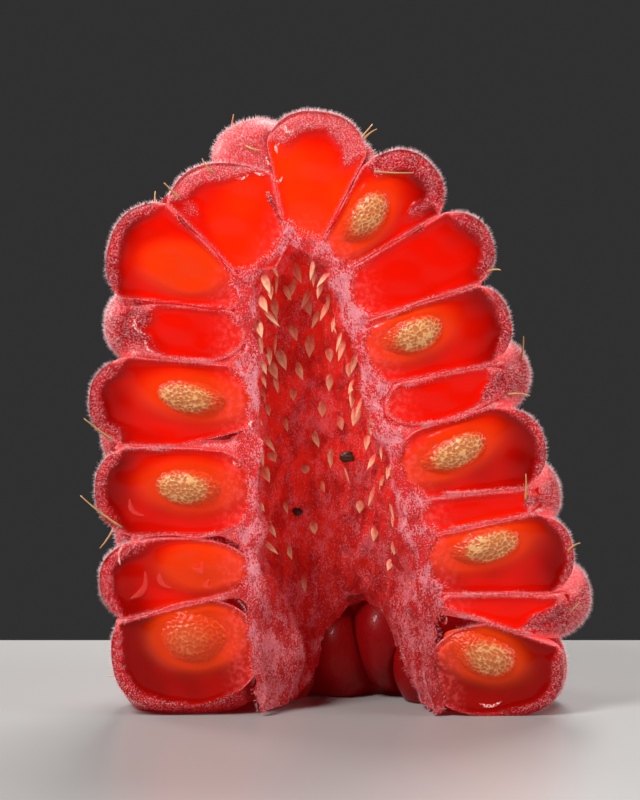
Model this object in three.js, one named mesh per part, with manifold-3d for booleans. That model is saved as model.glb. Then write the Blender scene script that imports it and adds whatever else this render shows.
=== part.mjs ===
// Half of a ripe raspberry, cut lengthwise and standing on its open rim.
// The flesh is one body: drupelets packed round the hollow that the plug of the plant left.
// The cut faces the front and lays bare ten stones, each a piece of its own.
import * as THREE from 'three';
import { mergeVertices } from 'three/addons/utils/BufferGeometryUtils.js';
import Module from 'manifold-3d';

const wasm = await Module();
wasm.setup();

// Driving dimensions, in millimetres and degrees.
// X runs right, Y runs back from the cut, which is the plane y = 0, and Z is up from the table.
const CROWN_HEIGHT = 18.1;
const WAIST_RADIUS = 6.95;
const OUTER_FULLNESS = 3.3;
const HOLLOW_HEIGHT = 14.5;
const HOLLOW_RADIUS = 2.75;
const HOLLOW_FULLNESS = 2.2;
const LEAN = 7.4;
const BASE_X = 0.36;

// Packing of the drupelets that the cut doesn't meet.
const HIDDEN_DRUPELETS = 37;
const SKIN_STEP = 0.3;
const SETTLING_ROUNDS = 30;
const ROOT_RISE = 0.2;
const SINK = 0.35;
const PACKING = 0.62;

// Shape of one drupelet: how square its profile is, and how far it narrows towards the root.
const BLUNTNESS = 0.82;
const ROOT_WIDTH = 0.55;
const ROOT_DEPTH = 0.85;
const DRUPELET_DETAIL = 2;

// Where the drupelets grow together, below the creases, and the bulges of their inner ends.
const CREASE_DEPTH = 1.25;
const CORE_SEGMENTS = 20;
const HOLLOW_SEGMENTS = 16;
const BULGE_SPACING = 1.15;
const BULGE = 0.13;

// Groove between two drupelets on the cut face.
const GROOVE = 0.24;

// Stones and the play round them.
const STONE_THICKNESS = 0.56;
const STONE_SET_BACK = 0.24;
const STONE_GAP = 0.08;
const NET_DEPTH = 0.07;

// Pale scars that hang from the wall of the hollow.
const SCARS = 34;
const SCAR_LENGTH = 0.95;
const SCAR_WIDTH = 0.32;

const lean = THREE.MathUtils.degToRad(LEAN);
const berryUp = new THREE.Vector3(-Math.sin(lean), 0, Math.cos(lean));
const berryRight = new THREE.Vector3(Math.cos(lean), 0, Math.sin(lean));
const back = new THREE.Vector3(0, 1, 0);

// The drupelets that the cut meets, clockwise from the left foot over the crown to the right foot.
// Each has its root on the wall of the hollow, the tip of its dome, how far behind the cut its
// middle lies, and half its height.
const CUT_DRUPELETS = [
  { root: [-2.71, 2.1], tip: [-6.73, 1.7], behind: 0, half: 1.75 },
  { root: [-2.86, 4.15], tip: [-7.08, 4.0], behind: 0.1, half: 1.35 },
  { root: [-2.8, 6.75], tip: [-7.2, 6.8], behind: 0, half: 1.52 },
  { root: [-2.8, 9.4], tip: [-7.35, 9.45], behind: 0, half: 1.5 },
  { root: [-2.86, 11.4], tip: [-6.85, 11.7], behind: 1.0, half: 1.35 },
  { root: [-3.0, 13.1], tip: [-6.85, 13.9], behind: 0, half: 1.6 },
  { root: [-1.8, 14.1], tip: [-5.0, 15.75], behind: 0.1, half: 1.45 },
  { root: [-1.0, 14.25], tip: [-0.6, 17.95], behind: 0.1, half: 1.6 },
  { root: [-0.2, 13.8], tip: [2.65, 16.4], behind: 0, half: 1.4 },
  { root: [0.35, 12.75], tip: [4.4, 14.25], behind: 0, half: 1.35 },
  { root: [0.9, 10.9], tip: [4.95, 11.95], behind: 0, half: 1.42 },
  { root: [1.3, 9.2], tip: [5.5, 10.35], behind: 1.1, half: 1.35 },
  { root: [1.95, 7.4], tip: [6.0, 8.2], behind: 0, half: 1.42 },
  { root: [2.35, 5.95], tip: [6.45, 6.65], behind: 1.1, half: 1.35 },
  { root: [2.7, 4.5], tip: [6.87, 4.95], behind: 0, half: 1.42 },
  { root: [2.9, 3.2], tip: [7.4, 3.45], behind: 1.1, half: 1.4 },
  { root: [2.95, 1.3], tip: [6.6, 1.5], behind: 0, half: 1.5 },
];

// The dome left of the crown that the knife missed.
const MISSED_DRUPELET = { root: [-1.6, 14.4], tip: [-3.0, 17.1], behind: 1.5, half: 1.45 };

// The stones in the cut: middle, slope in degrees, half length and half height.
// The pointed end of each is towards the hollow.
const STONES = [
  { name: 'stone_left_1', at: [-4.22, 2.4], slope: 3, length: 1.2, height: 0.8 },
  { name: 'stone_left_2', at: [-3.98, 4.5], slope: 0, length: 1.1, height: 0.6 },
  { name: 'stone_left_3', at: [-4.37, 6.9], slope: -3, length: 1.25, height: 0.65 },
  { name: 'stone_left_4', at: [-4.25, 9.56], slope: -8, length: 1.3, height: 0.58 },
  { name: 'stone_left_5', at: [-4.6, 13.4], slope: -12, length: 1.05, height: 0.62 },
  { name: 'stone_right_1', at: [0.68, 14.85], slope: 50, length: 1.1, height: 0.62 },
  { name: 'stone_right_2', at: [2.05, 11.4], slope: 20, length: 1.15, height: 0.62 },
  { name: 'stone_right_3', at: [3.24, 7.88], slope: 24, length: 1.3, height: 0.58 },
  { name: 'stone_right_4', at: [4.2, 5.1], slope: 13, length: 1.3, height: 0.58 },
  { name: 'stone_right_5', at: [4.2, 1.9], slope: -22, length: 1.2, height: 0.72 },
];

const fleshMaterial = new THREE.MeshStandardMaterial({ color: 0xd01a10, roughness: 0.25, metalness: 0 });
const stoneMaterial = new THREE.MeshStandardMaterial({ color: 0xd3a05f, roughness: 0.4, metalness: 0 });

// A closed mesh as a solid that can be joined and cut.
function solidOf(geometry) {
  const bare = geometry.index ? geometry.toNonIndexed() : geometry.clone();
  bare.deleteAttribute('normal');
  bare.deleteAttribute('uv');
  const merged = mergeVertices(bare, 1e-4);
  return new wasm.Manifold(new wasm.Mesh({
    numProp: 3,
    vertProperties: merged.attributes.position.array,
    triVerts: new Uint32Array(merged.index.array),
  }));
}

// A solid as a geometry that a mesh can hold.
function geometryOf(solid) {
  const mesh = solid.getMesh();
  const geometry = new THREE.BufferGeometry();
  geometry.setAttribute('position', new THREE.BufferAttribute(mesh.vertProperties, 3));
  geometry.setIndex(new THREE.BufferAttribute(mesh.triVerts, 1));
  geometry.computeVertexNormals();
  return geometry;
}

function outerRadius(height) {
  return WAIST_RADIUS * Math.sqrt(Math.max(0, 1 - (height / CROWN_HEIGHT) ** OUTER_FULLNESS));
}

function hollowRadius(height) {
  return HOLLOW_RADIUS * Math.sqrt(Math.max(0, 1 - (height / HOLLOW_HEIGHT) ** HOLLOW_FULLNESS));
}

// A point given by its distance from the berry's leaning axis, its turn round it and its height on it.
function berryPoint(radius, turn, height) {
  return new THREE.Vector3(BASE_X, 0, 0)
    .addScaledVector(berryRight, radius * Math.cos(turn))
    .addScaledVector(back, radius * Math.sin(turn))
    .addScaledVector(berryUp, height);
}

// Points spread evenly over the outer surface behind the cut.
function skinPoints() {
  const points = [];
  let height = -1.2;
  while (outerRadius(Math.max(0, height)) > SKIN_STEP) {
    const radius = outerRadius(Math.max(0, height));
    const slope = (outerRadius(Math.max(0, height + 0.001)) - radius) / 0.001;
    const steps = Math.round(Math.PI * radius / SKIN_STEP);
    for (let i = 0; i <= steps; i++) {
      const point = berryPoint(radius, Math.PI * i / steps, height);
      if (point.z >= 0) points.push(point);
    }
    height += SKIN_STEP / Math.hypot(1, slope);
  }
  return points;
}

function nearest(point, others) {
  let best = 0;
  others.forEach((other, i) => {
    if (point.distanceToSquared(other) < point.distanceToSquared(others[best])) best = i;
  });
  return best;
}

// Tips of the hidden drupelets: each starts where there is most room, and then all settle evenly.
function settledTips(fixed) {
  const skin = skinPoints();
  const tips = fixed.slice();
  for (let n = 0; n < HIDDEN_DRUPELETS; n++) {
    const room = skin.map((point) => point.distanceToSquared(tips[nearest(point, tips)]));
    tips.push(skin[room.indexOf(Math.max(...room))].clone());
  }
  for (let round = 0; round < SETTLING_ROUNDS; round++) {
    const sums = tips.map(() => ({ total: new THREE.Vector3(), count: 0 }));
    for (const point of skin) {
      const own = sums[nearest(point, tips)];
      own.total.add(point);
      own.count += 1;
    }
    for (let i = fixed.length; i < tips.length; i++) {
      const middle = sums[i].total.divideScalar(sums[i].count);
      tips[i].copy(skin[nearest(middle, skin)]);
    }
  }
  return tips.slice(fixed.length);
}

// The place on the wall of the hollow that a hidden drupelet grew from.
function rootOf(tip) {
  const arm = tip.clone().sub(new THREE.Vector3(BASE_X, 0, 0));
  const height = arm.dot(berryUp);
  const turn = Math.atan2(arm.y, arm.dot(berryRight));
  const rootHeight = Math.max(0.8, height) * (1 - ROOT_RISE * (height / CROWN_HEIGHT) ** 4);
  return berryPoint(hollowRadius(rootHeight), turn, rootHeight);
}

// Every drupelet of the half: root, tip, half height and half width.
function allDrupelets() {
  const placed = [...CUT_DRUPELETS, MISSED_DRUPELET].map(({ root, tip, behind, half }) => ({
    root: new THREE.Vector3(root[0], behind * 0.5, root[1]),
    tip: new THREE.Vector3(tip[0], behind, tip[1]),
    height: half,
    width: 1.55,
  }));
  const hidden = settledTips(placed.map((d) => d.tip)).map((tip) => ({ root: rootOf(tip), tip }));
  const tips = [...placed, ...hidden].map((d) => d.tip);
  for (const drupelet of hidden) {
    const gaps = tips.map((tip) => tip.distanceTo(drupelet.tip)).sort((a, b) => a - b);
    const size = PACKING * (gaps[1] + gaps[2] + gaps[3] + gaps[4]) / 4;
    drupelet.height = size;
    drupelet.width = size;
  }
  return [...placed, ...hidden];
}

// Along the drupelet, across it round the berry, and across it up the berry.
function axesOf(drupelet) {
  const out = drupelet.tip.clone().sub(drupelet.root).normalize();
  const side = new THREE.Vector3().crossVectors(out, berryUp);
  if (side.length() < 0.3) side.copy(back);
  side.addScaledVector(out, -side.dot(out)).normalize();
  return { out, side, up: new THREE.Vector3().crossVectors(out, side) };
}

// One drupelet: a blunt egg whose narrow end sits in the wall of the hollow.
function drupeletSolid(drupelet) {
  const { out, side, up } = axesOf(drupelet);
  const foot = drupelet.root.clone().addScaledVector(out, -SINK);
  const middle = foot.clone().add(drupelet.tip).multiplyScalar(0.5);
  const half = foot.distanceTo(drupelet.tip) / 2;
  const egg = new THREE.IcosahedronGeometry(1, DRUPELET_DETAIL);
  const position = egg.attributes.position;
  const at = new THREE.Vector3();
  for (let i = 0; i < position.count; i++) {
    at.fromBufferAttribute(position, i);
    const along = Math.sign(at.z) * Math.abs(at.z) ** BLUNTNESS;
    const round = Math.hypot(at.x, at.y);
    const swell = round > 1e-6 ? round ** BLUNTNESS / round : 0;
    const reach = (1 + along) / 2;
    const wide = THREE.MathUtils.lerp(ROOT_WIDTH, 1, reach) * drupelet.width;
    const high = THREE.MathUtils.lerp(ROOT_DEPTH, 1, reach) * drupelet.height;
    position.setXYZ(i, at.x * swell * wide, at.y * swell * high, along * half);
  }
  egg.applyMatrix4(new THREE.Matrix4().makeBasis(side, up, out).setPosition(middle));
  return solidOf(egg);
}

// A turned form about the Y axis, from pairs of radius and height.
function latheOf(profile, segments) {
  return new THREE.LatheGeometry(profile.map(([radius, height]) => new THREE.Vector2(radius, height)), segments);
}

// Stands a turned form on the berry's leaning axis.
function placedOnAxis(shape) {
  return shape.rotateX(Math.PI / 2).rotateY(-lean).translate(BASE_X, 0, 0);
}

// The flesh below the creases, where all the drupelets press together.
function coreSolid() {
  const heights = [1, 4, 8, 12, 14.5, 16];
  const side = heights.map((h) => [outerRadius(h) - CREASE_DEPTH, h]);
  const top = [0, CROWN_HEIGHT - CREASE_DEPTH];
  return solidOf(placedOnAxis(latheOf([[0, 0.8], ...side, top], CORE_SEGMENTS)));
}

// The hollow, whose wall bulges where each drupelet ends.
function hollowSolid() {
  const heights = [-3];
  for (let h = 0.6; h < HOLLOW_HEIGHT - 0.5; h += BULGE_SPACING) heights.push(h);
  const wall = heights.map((h) => [hollowRadius(Math.max(0, h)), h]);
  const shape = latheOf([[0, -3], ...wall, [0, HOLLOW_HEIGHT]], HOLLOW_SEGMENTS);
  const position = shape.attributes.position;
  for (let i = 0; i < position.count; i++) {
    const row = Math.round((position.getY(i) - 0.6) / BULGE_SPACING);
    const radius = Math.hypot(position.getX(i), position.getZ(i));
    const turn = Math.atan2(position.getX(i), position.getZ(i));
    const place = Math.round(turn / (2 * Math.PI) * HOLLOW_SEGMENTS);
    const push = radius > BULGE ? 1 + ((row + place) % 2 === 0 ? BULGE : -BULGE) / radius : 1;
    position.setX(i, position.getX(i) * push);
    position.setZ(i, position.getZ(i) * push);
  }
  return solidOf(placedOnAxis(shape));
}

function block(width, depth, height, x, y, z) {
  return solidOf(new THREE.BoxGeometry(width, depth, height).translate(x, y, z));
}

// Where two neighbours press together, on the cut face: a V-shaped groove.
function grooveSolid(first, second) {
  const middleOf = (d) => d.root.clone().add(d.tip).multiplyScalar(0.5);
  const from = middleOf(first);
  const across = middleOf(second).sub(from);
  const along = first.tip.clone().sub(first.root).add(second.tip).sub(second.root).normalize();
  across.addScaledVector(along, -across.dot(along));
  const start = middleOf(first).add(middleOf(second)).multiplyScalar(0.5);
  const shift = start.y * across.y / Math.hypot(across.x, across.z) ** 2;
  const centre = new THREE.Vector3(start.x + shift * across.x, 0, start.z + shift * across.z);
  const length = first.root.distanceTo(first.tip) + 1.2;
  const bar = new THREE.BoxGeometry(length, GROOVE, GROOVE).rotateX(Math.PI / 4);
  const line = new THREE.Vector3().crossVectors(across, back).normalize();
  bar.rotateY(-Math.atan2(line.z, line.x));
  return solidOf(bar.translate(centre.x, 0, centre.z));
}

// Bends and tapers a round form into a stone: blunt outside, pointed towards the hollow.
function stoneShape(geometry, { at, slope, length, height }, grow) {
  const position = geometry.attributes.position;
  const towardsHollow = at[0] < 0 ? 1 : -1;
  for (let i = 0; i < position.count; i++) {
    const x = position.getX(i);
    const taper = 1 - 0.3 * Math.max(0, x) ** 2 - 0.12 * x;
    position.setXYZ(
      i,
      towardsHollow * x * (length + grow),
      towardsHollow * position.getY(i) * taper * (STONE_THICKNESS + grow),
      (position.getZ(i) * taper + 0.16 * x * x - 0.05) * (height + grow),
    );
  }
  return geometry
    .rotateY(-THREE.MathUtils.degToRad(slope))
    .translate(at[0], STONE_SET_BACK, at[1]);
}

// A ball covered by a raised net: each point of an icosahedral ball is the floor of a pit, and the
// middles of its triangles are the corners of the rims.
function nettedBall() {
  const ball = mergeVertices(
    new THREE.BufferGeometry().setAttribute(
      'position',
      new THREE.IcosahedronGeometry(1, 1).attributes.position,
    ),
    1e-4,
  );
  const index = ball.index.array;
  const floor = [];
  for (let i = 0; i < ball.attributes.position.count; i++) {
    floor.push(new THREE.Vector3().fromBufferAttribute(ball.attributes.position, i));
  }
  const rims = new Map();
  for (let i = 0; i < index.length; i += 3) {
    const corners = [index[i], index[i + 1], index[i + 2]];
    const rim = new THREE.Vector3();
    corners.forEach((c) => rim.add(floor[c]));
    rim.normalize();
    corners.forEach((c, k) => rims.set(c + '>' + corners[(k + 1) % 3], rim));
  }
  const triangles = [];
  for (const [edge, rim] of rims) {
    const [from, to] = edge.split('>').map(Number);
    const twin = rims.get(to + '>' + from);
    triangles.push(floor[from].clone().multiplyScalar(1 - NET_DEPTH), twin, rim);
  }
  return new THREE.BufferGeometry().setFromPoints(triangles);
}

// One pale scar: a thin flap, sunk in the wall and hanging down into the hollow.
function scarSolid(number) {
  const turn = Math.PI * (0.08 + 0.84 * ((number * 0.618034) % 1));
  const height = 2.2 + 11.3 * (number + 0.5) / SCARS;
  const root = berryPoint(hollowRadius(height) + 0.25, turn, height);
  const flap = new THREE.ConeGeometry(SCAR_WIDTH, SCAR_LENGTH + 0.3, 4).rotateX(-Math.PI / 2);
  flap.scale(1, 0.6, 1);
  const inward = berryPoint(0, turn, height).sub(berryPoint(1, turn, height));
  const hang = inward.multiplyScalar(0.75).addScaledVector(berryUp, -1).normalize();
  const side = new THREE.Vector3().crossVectors(hang, berryUp).normalize();
  const out = new THREE.Vector3().crossVectors(hang, side);
  const middle = root.addScaledVector(hang, SCAR_LENGTH / 2);
  flap.applyMatrix4(new THREE.Matrix4().makeBasis(side, out, hang).setPosition(middle));
  return solidOf(flap);
}

function fleshSolid() {
  const drupelets = allDrupelets();
  let flesh = coreSolid();
  for (const drupelet of drupelets) flesh = flesh.add(drupeletSolid(drupelet));
  flesh = flesh.subtract(hollowSolid());
  for (let n = 0; n < SCARS; n++) flesh = flesh.add(scarSolid(n));
  for (let i = 1; i < CUT_DRUPELETS.length; i++) {
    flesh = flesh.subtract(grooveSolid(drupelets[i - 1], drupelets[i]));
  }
  for (const stone of STONES) {
    const ball = new THREE.IcosahedronGeometry(1, 1);
    flesh = flesh.subtract(solidOf(stoneShape(ball, stone, STONE_GAP)));
  }
  flesh = flesh.subtract(block(40, 20, 60, 0, -10, 0));
  return flesh.subtract(block(40, 40, 10, 0, 0, -5));
}

const raspberry = new THREE.Group();
const flesh = new THREE.Mesh(geometryOf(fleshSolid()), fleshMaterial);
flesh.name = 'flesh';
raspberry.add(flesh);
for (const stone of STONES) {
  const mesh = new THREE.Mesh(stoneShape(nettedBall(), stone, 0), stoneMaterial);
  mesh.name = stone.name;
  raspberry.add(mesh);
}

// The origin is on the table, under the middle of the whole piece.
const box = new THREE.Box3().setFromObject(raspberry);
const middle = box.getCenter(new THREE.Vector3());
raspberry.position.set(-middle.x, -middle.y, -box.min.z);

export default raspberry;
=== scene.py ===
# %% [markdown]
# # Half a raspberry, cut lengthwise
# A raspberry is a cap of small fruits, the drupelets, that grew round a pale plug. Picking leaves the
# plug on the plant, so the berry is hollow. This one is cut through the hollow and stands on its rim.
# We build it drupelet by drupelet, because each has its own skin and its own pocket of pulp, and the
# thin double wall where two of them meet is what the eye reads first on the cut.

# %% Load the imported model
import math
from collections import Counter

import bpy
import numpy as np
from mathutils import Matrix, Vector
from mathutils.bvhtree import BVHTree


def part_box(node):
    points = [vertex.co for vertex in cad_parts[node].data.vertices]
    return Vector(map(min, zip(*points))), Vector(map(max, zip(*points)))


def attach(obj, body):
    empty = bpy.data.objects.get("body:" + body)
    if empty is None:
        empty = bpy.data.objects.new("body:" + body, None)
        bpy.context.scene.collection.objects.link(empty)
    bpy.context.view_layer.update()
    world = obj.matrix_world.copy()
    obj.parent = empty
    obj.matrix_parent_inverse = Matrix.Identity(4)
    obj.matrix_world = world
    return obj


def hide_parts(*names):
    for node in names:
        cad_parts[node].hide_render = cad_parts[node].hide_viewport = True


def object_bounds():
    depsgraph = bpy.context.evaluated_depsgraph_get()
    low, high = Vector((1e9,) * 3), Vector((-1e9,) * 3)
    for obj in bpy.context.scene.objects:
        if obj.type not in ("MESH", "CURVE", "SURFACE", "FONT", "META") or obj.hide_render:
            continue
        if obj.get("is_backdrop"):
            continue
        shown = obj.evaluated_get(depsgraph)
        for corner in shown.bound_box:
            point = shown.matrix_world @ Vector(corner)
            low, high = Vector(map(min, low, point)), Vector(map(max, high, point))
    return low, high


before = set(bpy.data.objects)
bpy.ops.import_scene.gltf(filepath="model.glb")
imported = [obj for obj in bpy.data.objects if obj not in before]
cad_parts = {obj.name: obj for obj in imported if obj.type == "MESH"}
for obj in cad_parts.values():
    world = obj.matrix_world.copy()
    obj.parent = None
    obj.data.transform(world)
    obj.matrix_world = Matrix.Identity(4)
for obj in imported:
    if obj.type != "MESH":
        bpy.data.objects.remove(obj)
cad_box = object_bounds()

print("CAD box in millimetres", [[round(c * 1000, 2) for c in corner] for corner in cad_box])

# %% [markdown]
# ## The view and the light
# The real half was seen from close by and a little from above, with a long lens that flattens it. We
# set the camera first, because it tells how large one millimetre is in the picture: about 34 pixels.
# Fruit flesh glows when light comes from behind and above, so those lamps are the strong ones.

# %% Camera
MM = 0.001
PICTURE_WIDTH = 640
PICTURE_HEIGHT = 800
PIXELS_PER_MM = 33.9
ORIGIN_PIXEL = (340, 722)
CAMERA_RISE = math.radians(7.5)
LENS = 200
SENSOR = 36
CLIP_START = 0.01
CLIP_END = 10

CUT_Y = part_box("flesh")[0].y / MM
DRAWING_X = -0.034


def from_pixel(pixel):
    """The X and Z of a pixel on the cut face, in the drawing's millimetres."""
    return (pixel[0] - ORIGIN_PIXEL[0]) / PIXELS_PER_MM, (ORIGIN_PIXEL[1] - pixel[1]) / PIXELS_PER_MM


def add_camera():
    middle_x, middle_z = from_pixel((PICTURE_WIDTH / 2, PICTURE_HEIGHT / 2))
    target = Vector((middle_x + DRAWING_X, CUT_Y, middle_z)) * MM
    distance = PICTURE_HEIGHT / PIXELS_PER_MM * LENS / SENSOR * MM
    back = Vector((0, -math.cos(CAMERA_RISE), math.sin(CAMERA_RISE)))
    bpy.ops.object.camera_add(
        location=target + distance * back,
        rotation=(math.pi / 2 - CAMERA_RISE, 0, 0),
    )
    camera = bpy.context.object
    camera.data.lens = LENS
    camera.data.sensor_width = SENSOR
    camera.data.clip_start = CLIP_START
    camera.data.clip_end = CLIP_END
    bpy.context.scene.camera = camera
    print("camera", round(distance / MM), "mm from the cut face")


add_camera()

# %% Lamps and surroundings
LAMPS = {
    "back_light": {"place": (25, 75, 95), "size": 70, "watts": 0.17},
    "key_light": {"place": (-60, -60, 105), "size": 40, "watts": 0.18},
    "side_light": {"place": (95, -25, 45), "size": 45, "watts": 0.055},
    "rim_light": {"place": (-85, 55, 40), "size": 40, "watts": 0.07},
}
BACKDROP_GREY = 0.03
LAMP_AIM = Vector((0, 0, 9))


def add_lamp(name, place, size, watts):
    """A square soft lamp that looks at the middle of the berry. Its place is in millimetres."""
    place = Vector(place)
    turn = (LAMP_AIM - place).to_track_quat("-Z", "Y").to_euler()
    bpy.ops.object.light_add(type="AREA", location=place * MM, rotation=turn)
    lamp = bpy.context.object
    lamp.name = name
    lamp.data.size = size * MM
    lamp.data.energy = watts


for lamp_name, lamp_values in LAMPS.items():
    add_lamp(lamp_name, **lamp_values)

world = bpy.data.worlds.new("studio")
bpy.context.scene.world = world
world.use_nodes = True
backdrop = world.node_tree.nodes["Background"].inputs["Color"]
backdrop.default_value = (BACKDROP_GREY, BACKDROP_GREY, BACKDROP_GREY, 1)
bpy.context.scene.view_settings.view_transform = "Standard"
print("lamps", len(LAMPS))

# %% [markdown]
# ## Finishes
# A shader is arithmetic on numbers that change over a surface. Nodes can be wired one by one, but the
# sums get hard to read, so a small class wraps a socket and turns Python's operators into Math nodes.
# Each piece carries its own numbers as attributes, such as how far a point is from the skin. The
# colours, shares and grain sizes below were picked against the look of a real cut berry.


# %% Shader arithmetic
class Wire:
    """One output of a shader node, which Python's operators can work with."""

    def __init__(self, finish, socket):
        self.finish = finish
        self.socket = socket

    def __add__(self, other):
        return self.finish.maths("ADD", self, other)

    def __sub__(self, other):
        return self.finish.maths("SUBTRACT", self, other)

    def __rsub__(self, other):
        return self.finish.maths("SUBTRACT", other, self)

    def __mul__(self, other):
        return self.finish.maths("MULTIPLY", self, other)

    __radd__ = __add__
    __rmul__ = __mul__


class Finish:
    """A material under construction."""

    def __init__(self, name):
        self.material = bpy.data.materials.new(name)
        self.material.use_nodes = True
        self.tree = self.material.node_tree
        self.tree.nodes.clear()

    def add(self, kind, settings=None, values=None, output=0):
        node = self.tree.nodes.new(kind)
        for key, value in (settings or {}).items():
            setattr(node, key, value)
        for key, value in (values or {}).items():
            if isinstance(value, Wire):
                self.tree.links.new(value.socket, node.inputs[key])
            else:
                node.inputs[key].default_value = value
        return Wire(self, node.outputs[output]) if node.outputs else None

    def maths(self, operation, first, second=0.0):
        return self.add("ShaderNodeMath", {"operation": operation}, {0: first, 1: second})

    def ease(self, value, low, high):
        """0 below low, 1 above high, and a soft step between."""
        settings = {"interpolation_type": "SMOOTHSTEP"}
        return self.add("ShaderNodeMapRange", settings, {"Value": value, "From Min": low, "From Max": high})

    def blend(self, share, first, second):
        """The first colour where share is 0 and the second where it is 1."""
        settings = {"data_type": "RGBA"}
        return self.add("ShaderNodeMix", settings, {0: share, 6: first, 7: second}, output=2)

    def number(self, name):
        """A number that the piece carries at each of its points."""
        return self.add("ShaderNodeAttribute", {"attribute_name": name}, output=2)

    def noise(self, size, detail=3.0, roughness=0.5, tall=1.0):
        """Cloudy noise whose patches are about size millimetres wide and tall times as high."""
        place = self.add("ShaderNodeTexCoord", output=3)
        squeeze = {0: place, 1: (1, 1, 1 / tall)}
        place = self.add("ShaderNodeVectorMath", {"operation": "MULTIPLY"}, squeeze)
        values = {"Vector": place, "Scale": 1 / (size * MM), "Detail": detail, "Roughness": roughness}
        return self.add("ShaderNodeTexNoise", values=values)

    def bump(self, height, depth, strength=1.0):
        """A normal for dents and bumps of depth millimetres."""
        values = {"Height": height, "Distance": depth * MM, "Strength": strength}
        return self.add("ShaderNodeBump", values=values)

    def surface(self, **values):
        values = {name.replace("_", " "): value for name, value in values.items()}
        self.show(self.add("ShaderNodeBsdfPrincipled", values=values))

    def show(self, shader):
        self.add("ShaderNodeOutputMaterial", values={"Surface": shader})


def rgb(red, green, blue):
    """A colour picked on a screen, as the linear light that a shader wants."""
    linear = []
    for value in (red / 255, green / 255, blue / 255):
        linear.append(value / 12.92 if value <= 0.04045 else ((value + 0.055) / 1.055) ** 2.4)
    return (*linear, 1)


# %% [markdown]
# ### Flesh
# One material serves both the pulp and the skin of a drupelet, because they grade into each other at
# the rim of the cut. The pulp is a wet red with a painted glow, brightest in its middle, and painted
# shade that darkens it under the skin, and it is hazy orange over a stone. The skin is crimson under a
# frost of down. Light that wanders inside gives the soft look, and an emission paints more glow on it.

# %% Flesh material
def flesh_material():
    f = Finish("raspberry flesh")
    skin = f.number("skin")
    edge = f.number("edge")
    reach = f.number("reach")
    cloud = f.noise(1.6, 1.0) - 0.5
    # light is the pulp's brightness: each drupelet's tone and a cloudy change, with a painted glow in the
    # middle of the pocket and painted shade towards its outer end and round the edges of the cut.
    light = 0.53 + f.number("tone") + cloud * 0.5 - f.ease(reach, 0.55, 1.0) * 0.42
    light = light - (1 - f.ease(edge, 0.0, 0.3)) * 0.1
    pulp = f.blend(f.ease(light, 0.0, 0.6), rgb(124, 3, 1), rgb(212, 13, 1))
    pulp = f.blend(f.ease(light, 0.6, 1.15), pulp, rgb(250, 48, 4))
    pulp = f.blend(f.number("haze") * 0.5, pulp, rgb(226, 66, 14))
    fibres = f.ease(f.noise(0.16, 3.0), 0.4, 0.7)
    pulp = f.blend(f.number("pale") * (0.12 + 0.5 * fibres), pulp, rgb(230, 80, 74))
    speckle = f.noise(0.036, 2.0, 0.6)
    frost = f.ease(speckle + 0.05 * f.number("pink"), 0.55, 0.65)
    crimson = f.blend(f.ease(f.noise(0.5, 2.0), 0.35, 0.65), rgb(156, 3, 10), rgb(198, 14, 22))
    outside = f.blend(f.number("pink") * 0.75, crimson, rgb(240, 88, 88))
    outside = f.blend(frost * 0.8, outside, rgb(254, 202, 208))
    # inner turns the skin deep red where drupelets bulge into the opening near the hollow. On hidden
    # drupelets it is also painted shade in the creases between them.
    outside = f.blend(f.number("inner"), outside, rgb(136, 5, 7))
    colour = f.blend(skin, pulp, outside)
    # glow is the emission colour and a painted glow: the pulp's own red, and on the skin a red that turns
    # pink where pink is high, which lightens shaded lips and ridges.
    glow = f.blend(skin, pulp, f.blend(f.number("pink"), rgb(130, 4, 8), rgb(226, 74, 74)))
    # The same inner dims the painted glow there.
    glow = f.blend(f.number("inner"), glow, rgb(60, 1, 2))
    f.surface(
        Base_Color=colour,
        Roughness=0.16 + skin * 0.24,
        Subsurface_Weight=0.25,
        Subsurface_Radius=(1.0, 0.2, 0.1),
        Subsurface_Scale=0.8 * MM,
        Specular_IOR_Level=0.14,
        Coat_Weight=0.08,
        Coat_Roughness=0.04,
        Emission_Color=glow,
        Emission_Strength=0.5,
        Normal=f.bump(frost * skin, 0.02),
    )
    return f.material


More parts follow.
